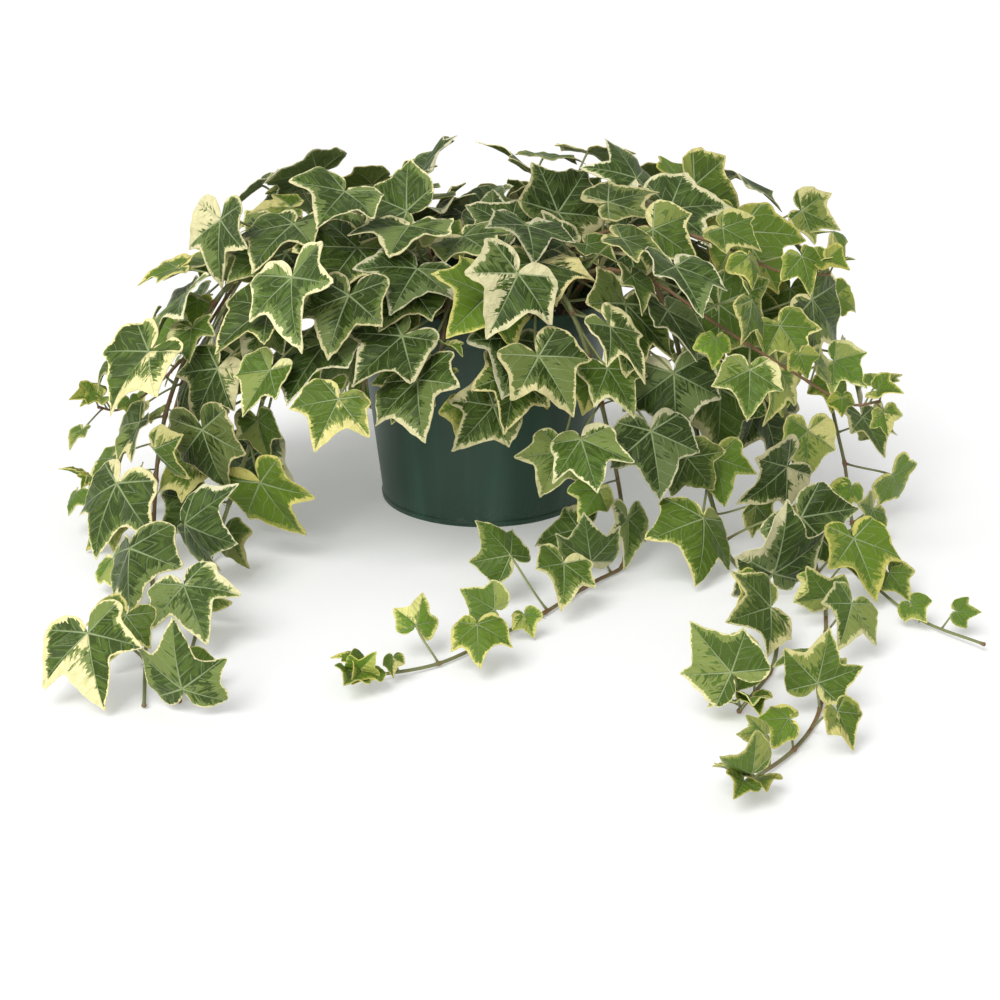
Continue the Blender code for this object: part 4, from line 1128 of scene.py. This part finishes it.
def make_soil_materials(look):
    """Crumbly potting soil, and white perlite grains."""
    soil, tree, shader = new_material("potting_soil")
    place = add_node(tree, "ShaderNodeTexCoord").outputs["Object"]
    mottle = use_group(tree, "Mottle", {"Vector": place, "Blotch Scale": 120.0, "Speck Scale": 500.0,
                                        "Speck Size": 0.3})
    base = mix(tree, mottle["Blotches"], look.dark, look.light)
    base = mix(tree, sum_of(tree, "MULTIPLY", mottle["Specks"], 0.5), base, (0.20, 0.14, 0.09))
    link(tree, shader.inputs["Base Color"], base)
    link(tree, shader.inputs["Normal"], bumped(tree, mottle["Grain"], 0.0008))
    shader.inputs["Roughness"].default_value = 0.95
    perlite, tree, shader = new_material("perlite")
    place = add_node(tree, "ShaderNodeTexCoord").outputs["Object"]
    mottle = use_group(tree, "Mottle", {"Vector": place, "Blotch Scale": 900.0, "Speck Scale": 900.0,
                                        "Speck Size": 0.3})
    link(tree, shader.inputs["Base Color"], mix(tree, mottle["Blotches"], look.perlite, (0.5, 0.47, 0.40)))
    link(tree, shader.inputs["Normal"], bumped(tree, mottle["Grain"], 0.0003))
    shader.inputs["Roughness"].default_value = 0.9
    return soil, perlite


def make_groups():
    make_variegation_group()
    make_vein_group()
    make_mottle_group()


def mesh_from(name, bm):
    """A mesh with what this bmesh holds, which is then freed."""
    mesh = bpy.data.meshes.new(name)
    bm.to_mesh(mesh)
    bm.free()
    return mesh


def add_object(name, data):
    made = bpy.data.objects.new(name, data)
    bpy.context.scene.collection.objects.link(made)
    return made


def add_piece(name, bm, materials, slot, *nodes):
    """A finished piece of the object, made from this bmesh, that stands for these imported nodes."""
    mesh = mesh_from(name, bm)
    for material in materials:
        mesh.materials.append(material)
    mesh.shade_smooth()
    piece = add_object(name, mesh)
    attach(piece, "root")
    if nodes:
        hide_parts(*nodes)
    return piece


def keep_modifiers(piece):
    """Makes the piece's mesh the one that its modifiers give, and takes them off."""
    bpy.context.view_layer.update()
    graph = bpy.context.evaluated_depsgraph_get()
    old = piece.data
    piece.data = bpy.data.meshes.new_from_object(piece.evaluated_get(graph), depsgraph=graph)
    piece.modifiers.clear()
    bpy.data.meshes.remove(old)


def margin_of(leaf):
    """(stretches of the blade's half margin, shares of its rings) for a leaf of this size."""
    if leaf.size >= MIDDLE_SIZE:
        return GROWN_MARGIN, BLADE_RINGS
    return (YOUNG_MARGIN, YOUNG_RINGS) if leaf.size < YOUNG_SIZE else (MIDDLE_MARGIN, BLADE_RINGS)


def vary_margin(half, lower, rng):
    """One half of the margin with its lobes and bays a little changed, and shorter at the notch."""
    lobes = sorted({vein for vein, _ in half if vein})
    longer = {vein: rng.uniform(*LOBE_LENGTH) for vein in lobes}
    turned = {vein: rng.uniform(-LOBE_TURN, LOBE_TURN) for vein in lobes}
    deeper = rng.uniform(*BAY_DEPTH)
    varied = []
    for vein, points in half:
        moved = []
        for degrees, radius in points:
            for lobe in lobes:
                near = bell((degrees - lobe) / LOBE_BREADTH)
                radius *= 1 + (longer[lobe] - 1) * near
                degrees += turned[lobe] * near
            bay = sum(bell((degrees - middle) / BAY_BREADTH) for middle in BAYS)
            radius *= 1 + (deeper - 1) * bay + rng.uniform(-MARGIN_LUCK, MARGIN_LUCK)
            radius *= 1 - lower * min(1.0, max(0.0, (degrees - NOTCH_FROM) / NOTCH_OVER))
            moved.append((degrees, radius))
        varied.append((vein, moved))
    return varied


def margin_line(leaf, rng):
    """(points of the margin once round, vein of each stretch between points, number of its patch)."""
    half, _ = margin_of(leaf)
    lower = rng.uniform(0.0, NOTCH_SHORTER)
    sides = []
    for sign in (-1, 1):
        points, veins, patches = [], [], []
        for number, (vein, stretch) in enumerate(vary_margin(half, lower, rng)):
            for degrees, radius in stretch:
                angle = math.radians(degrees) * sign
                points.append(Vector((radius * math.sin(angle), radius * math.cos(angle), 0.0)))
                veins += [math.radians(vein) * sign] * MARGIN_STEPS
                patches += [(number // 2 + 0.5) * sign] * MARGIN_STEPS
        sides.append((points, veins, patches))
    (left, left_veins, left_patches), (right, right_veins, right_patches) = sides
    points = left[::-1] + [Vector((0.0, 1.0, 0.0))] + right
    line = smooth_points(points, Vector((-0.01, 0.02, 0.0)), Vector((0.01, 0.02, 0.0)), MARGIN_STEPS)
    start = rng.uniform(0.0, 90.0)
    for number, point in enumerate(line):
        point *= 1 + MARGIN_WAVE * noise.noise(Vector((number / MARGIN_WAVELENGTH, start, 0.0)))
    return line, left_veins[::-1] + right_veins, left_patches[::-1] + right_patches


def surface_height(leaf, look, x, y, edge, phase):
    """How far the finished blade stands off its flat: bent as its solid, with creased veins and bent tips."""
    reach = math.hypot(x, y)
    turn = math.atan2(x, y)
    crease = abs(math.sin(3 * turn)) ** 1.3 * look.crease * reach
    curl = look.curl * (1 + CURL_SPREAD * math.sin(5 * phase)) * max(0.0, reach - CURL_FROM) ** 2
    ripple = look.ripple * edge**3 * (math.sin(9 * turn + phase) + 0.6 * math.sin(17 * turn - 2 * phase))
    return blade_height(leaf, x, y) + crease - curl + ripple


def blade_tone(leaf, rng):
    """How young, how light and how warm a blade's colours are, each from 0 to 1."""
    young = min(1.0, max(0.0, (YOUNG_FROM - leaf.size) / YOUNG_OVER)) * rng.uniform(0.5, 1.0)
    bright, luck = rng.uniform(*YOUNG_BRIGHT), rng.random()
    if luck < YOUNG_CHANCE + YOUNG_ON_RIGHT * max(0.0, leaf.joint.x):
        young = max(young, bright)
    return Vector((young, rng.random(), rng.random()))


def patch_width(rng, narrow, wide, often, widest):
    """How far a pattern comes in from the margin between two veins: now and then very far."""
    if rng.random() < often:
        return rng.uniform(wide, widest)
    return narrow + (wide - narrow) * rng.random() ** 1.6


def pattern_widths(patches, seed, rng):
    """Widths of the cream and of the sage, and the seed of their teeth, for each patch of a blade."""
    creamy = rng.uniform(*CREAMY)
    widths = {}
    for patch in sorted(set(patches)):
        cream = patch_width(rng, *CREAM_WIDTH) * creamy
        widths[patch] = Vector((cream, cream + patch_width(rng, *SAGE_WIDTH), seed + patch * 3.7))
    return widths


def add_blade(bm, layers, leaf, look, rng):
    """A lobed blade: a grid is turned round the end of its stalk, drawn out to the margin and bent."""
    line, veins, patches = margin_line(leaf, rng)
    rings = margin_of(leaf)[1]
    columns, rows = len(line) - 1, len(rings) - 1
    made = bmesh.ops.create_grid(bm, x_segments=columns, y_segments=rows, size=0.5)["verts"]
    phase = rng.uniform(0, math.tau)
    seed = rng.uniform(0.0, 90.0)
    tone = blade_tone(leaf, rng)
    widths = pattern_widths(patches, seed, rng)
    rim = np.array([(p.x, p.y) for p in line])
    spots = {}
    across = leaf.tip.cross(leaf.normal)
    for vert in made:
        column = round((vert.co.x + 0.5) * columns)
        row = round((vert.co.y + 0.5) * rows)
        x, y = line[column].x * rings[row], line[column].y * rings[row]
        spots[vert] = (column, x, y)
        vert[layers.rim] = float(np.hypot(rim[:, 0] - x, rim[:, 1] - y).min())
        bent = x + leaf.skew * max(y, 0.0)
        z = surface_height(leaf, look, bent, y, rings[row], phase)
        vert.co = leaf.joint + (across * bent + leaf.tip * y + leaf.normal * z) * leaf.size
        vert.co.z = max(vert.co.z, look.thickness + FLOOR_LIFT)
    for face in {face for vert in made for face in vert.link_faces}:
        column = min(spots[vert][0] for vert in face.verts)
        angle = veins[column]
        face[layers.patch] = widths[patches[column]]
        face[layers.tone] = tone
        for loop in face.loops:
            _, x, y = spots[loop.vert]
            loop[layers.uv].uv = (x * math.cos(angle) - y * math.sin(angle),
                                  x * math.sin(angle) + y * math.cos(angle))
    bmesh.ops.remove_doubles(bm, verts=made, dist=0.00001)


Layers = namedtuple("Layers", "uv rim patch tone")


def add_leaves(vine, leaves, look, materials):
    rng = random.Random(f"{vine.name} {look.seed}")
    bm = bmesh.new()
    of_faces = bm.faces.layers.float_vector
    layers = Layers(bm.loops.layers.uv.new("veins"), bm.verts.layers.float.new("leaf_rim"),
                    of_faces.new("leaf_patch"), of_faces.new("leaf_tone"))
    for leaf in leaves:
        add_blade(bm, layers, leaf, look, rng)
    piece = add_piece(f"{vine.name}_leaves", bm, materials, "ivy_leafage", vine.name)
    wall = piece.modifiers.new("thickness", "SOLIDIFY")
    wall.thickness = look.thickness
    wall.offset = -1.0
    wall.material_offset = 1
    keep_modifiers(piece)
    piece.data.set_sharp_from_angle(angle=math.radians(60))


def add_tube(bm, tones, path, sides):
    """A round stem along (point, radius, tone): a short bar whose end is drawn out from ring to ring."""
    made = bmesh.ops.create_cone(
        bm, cap_ends=True, segments=sides, radius1=1.0, radius2=1.0, depth=2.0)["verts"]
    first_ring = [vert for vert in made if vert.co.z < 0]
    upper = next(vert for vert in made if vert.co.z > 0)
    face = next(face for face in upper.link_faces if all(vert.co.z > 0 for vert in face.verts))
    turn = [math.atan2(vert.co.y, vert.co.x) for vert in first_ring]
    order = [math.atan2(vert.co.y, vert.co.x) for vert in face.verts]
    side = None
    for number, (place, radius, tone) in enumerate(path):
        ahead = path[min(number + 1, len(path) - 1)][0] - path[max(number - 1, 0)][0]
        along = ahead.normalized()
        side = along.orthogonal() if side is None else side - along * side.dot(along)
        side = side.normalized()
        other = along.cross(side)
        if number > 1:
            face = bmesh.ops.extrude_discrete_faces(bm, faces=[face])["faces"][0]
        ring = list(face.verts) if number else first_ring
        for vert, angle in zip(ring, order if number else turn):
            vert.co = place + (side * math.cos(angle) + other * math.sin(angle)) * radius
            vert[tones] = tone


def stem_line(vine, leaves_at):
    """(point, radius, tone) along a stem, with a small kink and a swelling at each of these ways along it."""
    curve, total = route_curve(vine, STEM_STEP)
    last = len(curve) - 1
    line = [(Vector((curve[0].x, curve[0].y, SOIL_TOP - ROOT_DEPTH)), vine.radius, 0.75)]
    for number, place in enumerate(curve):
        way = total * number / last
        ahead = curve[min(number + 1, last)] - curve[max(number - 1, 0)]
        sideways = ahead.cross(UP)
        sideways = sideways.normalized() if sideways.length > 1e-6 else Vector((1.0, 0.0, 0.0))
        beside = np.interp(way, *zip(*leaves_at))
        near = max(bell((way - node) / NODE_LENGTH) for node, _ in leaves_at)
        radius = vine.radius * (1 - STEM_TAPER * number / last) * (1 + NODE_SWELLING * near)
        place = place + sideways * float(beside)
        place.z = max(place.z, radius + FLOOR_LIFT)
        tone = STEM_TONE + TONE_SWING * math.sin(vine.leaf * 9000 + way * 14)
        if vine.name in BROWN_STEMS:
            tone = BROWN_TONE
        line.append((place, radius, min(1.0, tone + END_TONE * number / last + NODE_TONE * near)))
    return line


def stalk_line(leaf, root, rng, look):
    """(point, radius, tone) along a leaf stalk, which runs on under the blade's main vein."""
    chord = leaf.joint - root
    along = chord.normalized()
    sideways = along.orthogonal().normalized() * rng.uniform(-0.07, 0.07) * chord.length
    lift = UP * rng.uniform(-0.03, 0.09) * chord.length
    under = leaf.joint - leaf.normal * STALK_BELOW
    bends = (root, root + chord * 0.35 + sideways + lift,
             under - (along * 0.7 + leaf.tip * 0.45) * chord.length * 0.26, under)
    radius = STALK_LEAST + STALK_SHARE * leaf.size
    line = []
    for number in range(STALK_STATIONS):
        t = number / (STALK_STATIONS - 1)
        a, b, c, d = bends
        place = a * (1 - t)**3 + b * 3 * t * (1 - t)**2 + c * 3 * t * t * (1 - t) + d * t**3
        thick = radius * (1 + 0.55 * bell(t / 0.07) + 0.25 * bell((1 - t) / 0.08))
        line.append((place, thick, 0.15 + 0.6 * math.exp(-t / 0.22)))
    across = leaf.tip.cross(leaf.normal)
    for y, part in STALK_RUN:
        z = surface_height(leaf, look, leaf.skew * y, y, 0.0, 0.0)
        drop = leaf.normal * (look.thickness + radius * part * 0.5)
        place = leaf.joint + (across * leaf.skew * y + leaf.tip * y + leaf.normal * z) * leaf.size
        line.append((place - drop, radius * part, 0.0))
    return line


def add_rootlets(bm, tones, place, along, radius, rng, longest):
    """A few hair-thin rootlets on the shaded side of a node."""
    for _ in range(rng.randint(*ROOTLETS)):
        out = random_direction(rng) - UP * 0.8
        out = (out - along * out.dot(along)).normalized()
        reach = longest * rng.uniform(0.35, 1.0)
        start = place + along * rng.uniform(-0.003, 0.003) + out * radius * 0.7
        bend = random_direction(rng) * reach * 0.3
        tip = start + out * reach + bend
        tip.z = max(tip.z, FLOOR_LIFT)
        middle = start + out * reach * 0.5
        middle.z = max(middle.z, FLOOR_LIFT)
        add_tube(bm, tones, list(zip((start, middle, tip), ROOTLET_RADII, (0.9, 0.95, 1.0))), 4)


def tip_leaves(vine, rng):
    """The three smallest leaves, still unfolding, at the growing end of a stem."""
    curve, _ = route_curve(vine, NODE_SPACING)
    along = (curve[-1] - curve[-3]).normalized()
    found = []
    for number in range(3):
        side = along.cross(UP).normalized() * (1 if number % 2 else -1)
        root = curve[-1 - number * 2]
        joint = root + along * rng.uniform(0.002, 0.007) + side * rng.uniform(0.003, 0.007)
        joint += UP * rng.uniform(0.004, 0.009)
        normal = (UP - along * 0.5 + FRONT * 0.3 + random_direction(rng) * 0.3).normalized()
        heading = along + side * 0.6 + random_direction(rng) * 0.3
        tip = (heading - normal * heading.dot(normal)).normalized()
        size, fold = rng.uniform(*TIP_SIZE), rng.uniform(*TIP_FOLD)
        found.append(Leaf(root, joint, tip, normal, size, fold, TIP_DROOP, TIP_WAVE, 0.0))
    return found


def add_stem(vine, leaves, leaf_look, look, material):
    rng = random.Random(f"{vine.name} stem")
    _, total = route_curve(vine, NODE_SPACING)
    ways = sorted(share_of * total for _, _, share_of in leaf_nodes(vine))
    kinks = [(0.0, 0.0)]
    kinks += [(way, KINK * (1 if number % 2 else -1)) for number, way in enumerate(ways) if way > 0.001]
    line = stem_line(vine, kinks)
    bm = bmesh.new()
    tones = bm.verts.layers.float.new("stem_tone")
    end, radius, tone = line[-1]
    along = (end - line[-2][0]).normalized()
    if vine.name in CUT_ENDS:
        cap = [(end + along * 0.0002, radius * 0.97, 0.9)]
    else:
        cap = [(end + along * radius * way, radius * width, tone) for way, width in ((0.5, 0.75), (0.8, 0.3))]
    add_tube(bm, tones, line + cap, STEM_SIDES)
    for leaf in leaves:
        root = min(line[1:], key=lambda spot: (spot[0] - leaf.root).length)[0]
        add_tube(bm, tones, stalk_line(leaf, root, rng, leaf_look), STALK_SIDES)
    for number, way in enumerate(ways):
        if rng.random() < ROOTLET_CHANCE:
            index = min(len(line) - 2, 1 + round(way / total * (len(line) - 2)))
            place, thick, _ = line[index]
            ahead = (line[index + 1][0] - place).normalized()
            add_rootlets(bm, tones, place, ahead, thick, rng, look.rootlet)
    add_piece(f"{vine.name}_stem", bm, (material,), "ivy_leafage", vine.name)


def pot_profile():
    """(radius, height) of the corners of the pot's wall, from the middle of its floor, up, over and down."""
    band = POT_HEIGHT - RIM_HEIGHT
    inner_band = band + POT_WALL
    return (
        (0.0, POT_FLOOR),
        (wall_radius(POT_FLOOR) - POT_WALL, POT_FLOOR),
        (wall_radius(inner_band) - POT_WALL, inner_band),
        (wall_radius(inner_band) + RIM_STEP - POT_WALL, inner_band),
        (wall_radius(POT_HEIGHT) + RIM_STEP - POT_WALL, POT_HEIGHT),
        (wall_radius(POT_HEIGHT) + RIM_STEP, POT_HEIGHT),
        (wall_radius(band) + RIM_STEP, band),
        (wall_radius(band), band),
        (wall_radius(FOOT_HEIGHT), FOOT_HEIGHT),
        (wall_radius(FOOT_HEIGHT) + FOOT_STEP, FOOT_HEIGHT - FOOT_STEP / 2),
        (wall_radius(0.0) + FOOT_STEP, 0.0),
        (0.0, 0.0),
    )


def cut_drain_holes(pot):
    bm = bmesh.new()
    for number in range(DRAIN_HOLES):
        angle = math.radians(30) + math.tau * number / DRAIN_HOLES
        place = Vector((DRAIN_RING * math.cos(angle), DRAIN_RING * math.sin(angle), POT_FLOOR / 2))
        bmesh.ops.create_cone(bm, cap_ends=True, segments=24, radius1=DRAIN_RADIUS, radius2=DRAIN_RADIUS,
                              depth=POT_FLOOR * 4, matrix=Matrix.Translation(place))
    mesh = mesh_from("drain_holes", bm)
    cutter = add_object("drain_holes", mesh)
    hole = pot.modifiers.new("drain_holes", "BOOLEAN")
    hole.operation = "DIFFERENCE"
    hole.object = cutter
    keep_modifiers(pot)
    bpy.data.objects.remove(cutter)
    bpy.data.meshes.remove(mesh)


def add_pot(look):
    """The turned pot: its half profile is spun round, its edges are rounded, and the drain holes are cut."""
    profile = pot_profile()
    bm = bmesh.new()
    start = bm.verts.new((profile[0][0], 0.0, profile[0][1]))
    for radius, height in profile[1:]:
        start = bmesh.ops.extrude_vert_indiv(bm, verts=[start])["verts"][0]
        start.co = (radius, 0.0, height)
    bmesh.ops.spin(bm, geom=bm.verts[:] + bm.edges[:], cent=(0, 0, 0), axis=(0, 0, 1), dvec=(0, 0, 0),
                   angle=math.tau, steps=POT_TURN_STEPS, use_merge=True)
    bmesh.ops.remove_doubles(bm, verts=bm.verts, dist=0.00002)
    bmesh.ops.recalc_face_normals(bm, faces=bm.faces)
    corners = {round(height, 6) for _, height in profile[2:-1]}
    edges = [edge for edge in bm.edges if abs(edge.verts[0].co.z - edge.verts[1].co.z) < 1e-6
             and round(edge.verts[0].co.z, 6) in corners and edge.calc_face_angle(0) > math.radians(25)]
    bmesh.ops.bevel(bm, geom=edges, offset=look.edge, segments=3, profile=0.5, affect="EDGES", material=-1,
                    clamp_overlap=True)
    piece = add_piece("nursery_pot", bm, (make_pot_material(look),), "pot_plastic", "pot")
    cut_drain_holes(piece)
    piece.data.set_sharp_from_angle(angle=math.radians(40))


def soil_height(x, y):
    """The uneven top of the soil at x, y: hills, clods and crumbs on each other."""
    spot = Vector((x, y, 0.0))
    return SOIL_TOP + sum(height * noise.noise(spot * often) for height, often in SOIL_RELIEF)


def add_crumbs(look, edge, materials):
    """Loose crumbs and white grains that lie about on the soil, up to this edge."""
    rng = random.Random(LEAF_SEED)
    bm = bmesh.new()
    for number in range(look.crumbs + look.grains):
        white = number >= look.crumbs
        reach, angle = edge * CRUMB_REACH * math.sqrt(rng.random()), rng.uniform(0, math.tau)
        x, y = reach * math.cos(angle), reach * math.sin(angle)
        size = rng.uniform(*(GRAIN_SIZE if white else CRUMB_SIZE))
        squash = Vector((rng.uniform(0.6, 1.0), rng.uniform(0.6, 1.0), rng.uniform(0.45, 0.9))) * size
        turn = Matrix.Rotation(rng.uniform(0, math.tau), 4, random_direction(rng))
        place = Matrix.Translation((x, y, soil_height(x, y) + size * 0.2))
        made = bmesh.ops.create_icosphere(
            bm, subdivisions=1, radius=1.0, matrix=place @ turn @ Matrix.Diagonal((*squash, 1.0)))["verts"]
        for vert in made:
            vert.co += random_direction(rng) * size * 0.14
        if white:
            for face in {face for vert in made for face in vert.link_faces}:
                face.material_index = 1
    crumbs = add_piece("soil_crumbs", bm, materials, "potting_soil")
    crumbs.data.shade_flat()


def add_soil(look):
    """The root ball: a grid is drawn into a disc, made uneven, and its edge drawn down to the pot's floor."""
    low = POT_FLOOR + SOIL_GAP
    slack = POT_WALL + SOIL_GAP
    edge = pot_radius(SOIL_TOP - SOIL_BUMP) - slack
    bm = bmesh.new()
    bmesh.ops.create_grid(bm, x_segments=SOIL_GRID, y_segments=SOIL_GRID, size=1.0)
    for vert in bm.verts:
        x, y = vert.co.x, vert.co.y
        x, y = x * math.sqrt(1 - y * y / 2) * edge, y * math.sqrt(1 - x * x / 2) * edge
        vert.co = (x, y, soil_height(x, y))
    ring = [side for side in bm.edges if side.is_boundary]
    for height in (SOIL_WAIST, low):
        drawn = bmesh.ops.extrude_edge_only(bm, edges=ring)["geom"]
        ring = [item for item in drawn if isinstance(item, bmesh.types.BMEdge)]
        for vert in [item for item in drawn if isinstance(item, bmesh.types.BMVert)]:
            out = Vector((vert.co.x, vert.co.y, 0.0)).normalized()
            vert.co = out * (pot_radius(height) - slack) + UP * height
    bmesh.ops.holes_fill(bm, edges=ring)
    bmesh.ops.recalc_face_normals(bm, faces=bm.faces)
    materials = make_soil_materials(look)
    add_piece("root_ball", bm, materials[:1], "potting_soil", "soil")
    add_crumbs(look, edge, materials)


def add_floor(look):
    bm = bmesh.new()
    bmesh.ops.create_circle(bm, cap_ends=True, segments=64, radius=FLOOR_RADIUS)
    floor = add_object("floor", mesh_from("floor", bm))
    material, tree, shader = new_material("studio_floor")
    place = add_node(tree, "ShaderNodeTexCoord").outputs["Object"]
    faint = tuple(value * 0.985 for value in look.floor)
    link(tree, shader.inputs["Base Color"], mix(tree, noise_at(tree, place, 3.0), look.floor, faint))
    shader.inputs["Roughness"].default_value = 0.9
    shader.inputs["Emission Color"].default_value = (1.0, 1.0, 1.0, 1.0)
    shader.inputs["Emission Strength"].default_value = look.glow
    floor.data.materials.append(material)


def add_sky(look):
    """White light from all round, behind a background that the camera sees as plain white."""
    world = bpy.data.worlds.new("studio_light")
    world.use_nodes = True
    tree = world.node_tree
    seen = add_node(tree, "ShaderNodeLightPath").outputs["Is Camera Ray"]
    sky = tree.nodes["Background"]
    sky.inputs["Color"].default_value = (1.0, 1.0, 1.0, 1.0)
    link(tree, sky.inputs["Strength"], ramp(tree, seen, 0.0, 1.0, look.sky, 1.0, kind="LINEAR"))
    bpy.context.scene.world = world


def add_lights(look):
    """A broad main light from the upper left, and a tall strip for the soft upright highlight on the pot."""
    sun = bpy.data.lights.new("key_light", "SUN")
    sun.energy = look.key
    sun.angle = math.radians(35)
    add_object("key_light", sun).rotation_euler = KEY_FROM.to_track_quat("Z", "Y").to_euler()
    strip = bpy.data.lights.new("strip_light", "AREA")
    strip.shape = "RECTANGLE"
    strip.size, strip.size_y = STRIP_SIZE
    strip.energy = look.strip
    lamp = add_object("strip_light", strip)
    lamp.location = STRIP_PLACE
    lamp.rotation_euler = (STRIP_TARGET - STRIP_PLACE).to_track_quat("-Z", "Y").to_euler()


def add_camera(look):
    camera = bpy.data.cameras.new("photo_camera")
    camera.lens = look.lens
    camera.sensor_width = 36.0
    camera.clip_start = 0.02
    view = add_object("photo_camera", camera)
    view.location = CAMERA_PLACE
    view.rotation_euler = (math.radians(90) - look.pitch, 0.0, 0.0)
    bpy.context.scene.camera = view


def add_studio(look):
    """A wide pale floor, soft light, and the camera."""
    add_floor(look)
    add_sky(look)
    add_lights(look)
    add_camera(look)
    bpy.context.scene.view_settings.view_transform = "Standard"


class IVY_OT_groups(bpy.types.Operator):
    """Makes the shader node groups that the materials share"""
    bl_idname = "ivy.make_groups"
    bl_label = "Make Shared Patterns"

    def execute(self, context):
        make_groups()
        return {"FINISHED"}


class IVY_OT_pot(bpy.types.Operator):
    """Builds the nursery pot"""
    bl_idname = "ivy.build_pot"
    bl_label = "Build Pot"

    def execute(self, context):
        add_pot(context.scene.ivy_pot)
        return {"FINISHED"}


class IVY_OT_soil(bpy.types.Operator):
    """Builds the root ball with its crumbs and perlite"""
    bl_idname = "ivy.build_soil"
    bl_label = "Build Soil"

    def execute(self, context):
        add_soil(context.scene.ivy_soil)
        return {"FINISHED"}


class IVY_OT_stems(bpy.types.Operator):
    """Builds every stem with its leaf stalks and rootlets"""
    bl_idname = "ivy.build_stems"
    bl_label = "Build Stems"

    def execute(self, context):
        look = context.scene.ivy_stems
        material = make_stem_material(look)
        vines, leaves = grown_plant()
        for vine in vines:
            add_stem(vine, leaves[vine.name], context.scene.ivy_leaves, look, material)
        return {"FINISHED"}


class IVY_OT_leaves(bpy.types.Operator):
    """Builds the variegated blades of every stem"""
    bl_idname = "ivy.build_leaves"
    bl_label = "Build Leaves"

    def execute(self, context):
        look = context.scene.ivy_leaves
        materials = make_leaf_materials(look)
        vines, leaves = grown_plant()
        for vine in vines:
            add_leaves(vine, leaves[vine.name], look, materials)
        return {"FINISHED"}


class IVY_OT_studio(bpy.types.Operator):
    """Adds the floor, the lights and the camera"""
    bl_idname = "ivy.build_studio"
    bl_label = "Build Studio"

    def execute(self, context):
        add_studio(context.scene.ivy_studio)
        return {"FINISHED"}


OPERATORS = (IVY_OT_groups, IVY_OT_pot, IVY_OT_soil, IVY_OT_stems, IVY_OT_leaves, IVY_OT_studio)
SETTINGS = {
    "ivy_pot": IvyPotSettings,
    "ivy_soil": IvySoilSettings,
    "ivy_stems": IvyStemSettings,
    "ivy_leaves": IvyLeafSettings,
    "ivy_studio": IvyStudioSettings,
}


class IVY_PT_panel(bpy.types.Panel):
    """Lists the builders and their settings"""
    bl_label = "Potted Ivy"
    bl_idname = "IVY_PT_panel"
    bl_space_type = "VIEW_3D"
    bl_region_type = "UI"
    bl_category = "Ivy"

    def draw(self, context):
        for operator in OPERATORS:
            self.layout.operator(operator.bl_idname)
        for name, kind in SETTINGS.items():
            box = self.layout.box()
            for title in kind.__annotations__:
                box.prop(getattr(context.scene, name), title)


def register():
    for kind in (*SETTINGS.values(), *OPERATORS, IVY_PT_panel):
        bpy.utils.register_class(kind)
    for name, kind in SETTINGS.items():
        setattr(bpy.types.Scene, name, PointerProperty(type=kind))


def unregister():
    for name in SETTINGS:
        delattr(bpy.types.Scene, name)
    for kind in reversed((*SETTINGS.values(), *OPERATORS, IVY_PT_panel)):
        bpy.utils.unregister_class(kind)


def main():
    register()
    bpy.ops.ivy.make_groups()
    bpy.ops.ivy.build_pot()
    bpy.ops.ivy.build_soil()
    bpy.ops.ivy.build_stems()
    bpy.ops.ivy.build_leaves()
    bpy.ops.ivy.build_studio()
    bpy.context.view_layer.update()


if __name__ == "__main__":
    main()
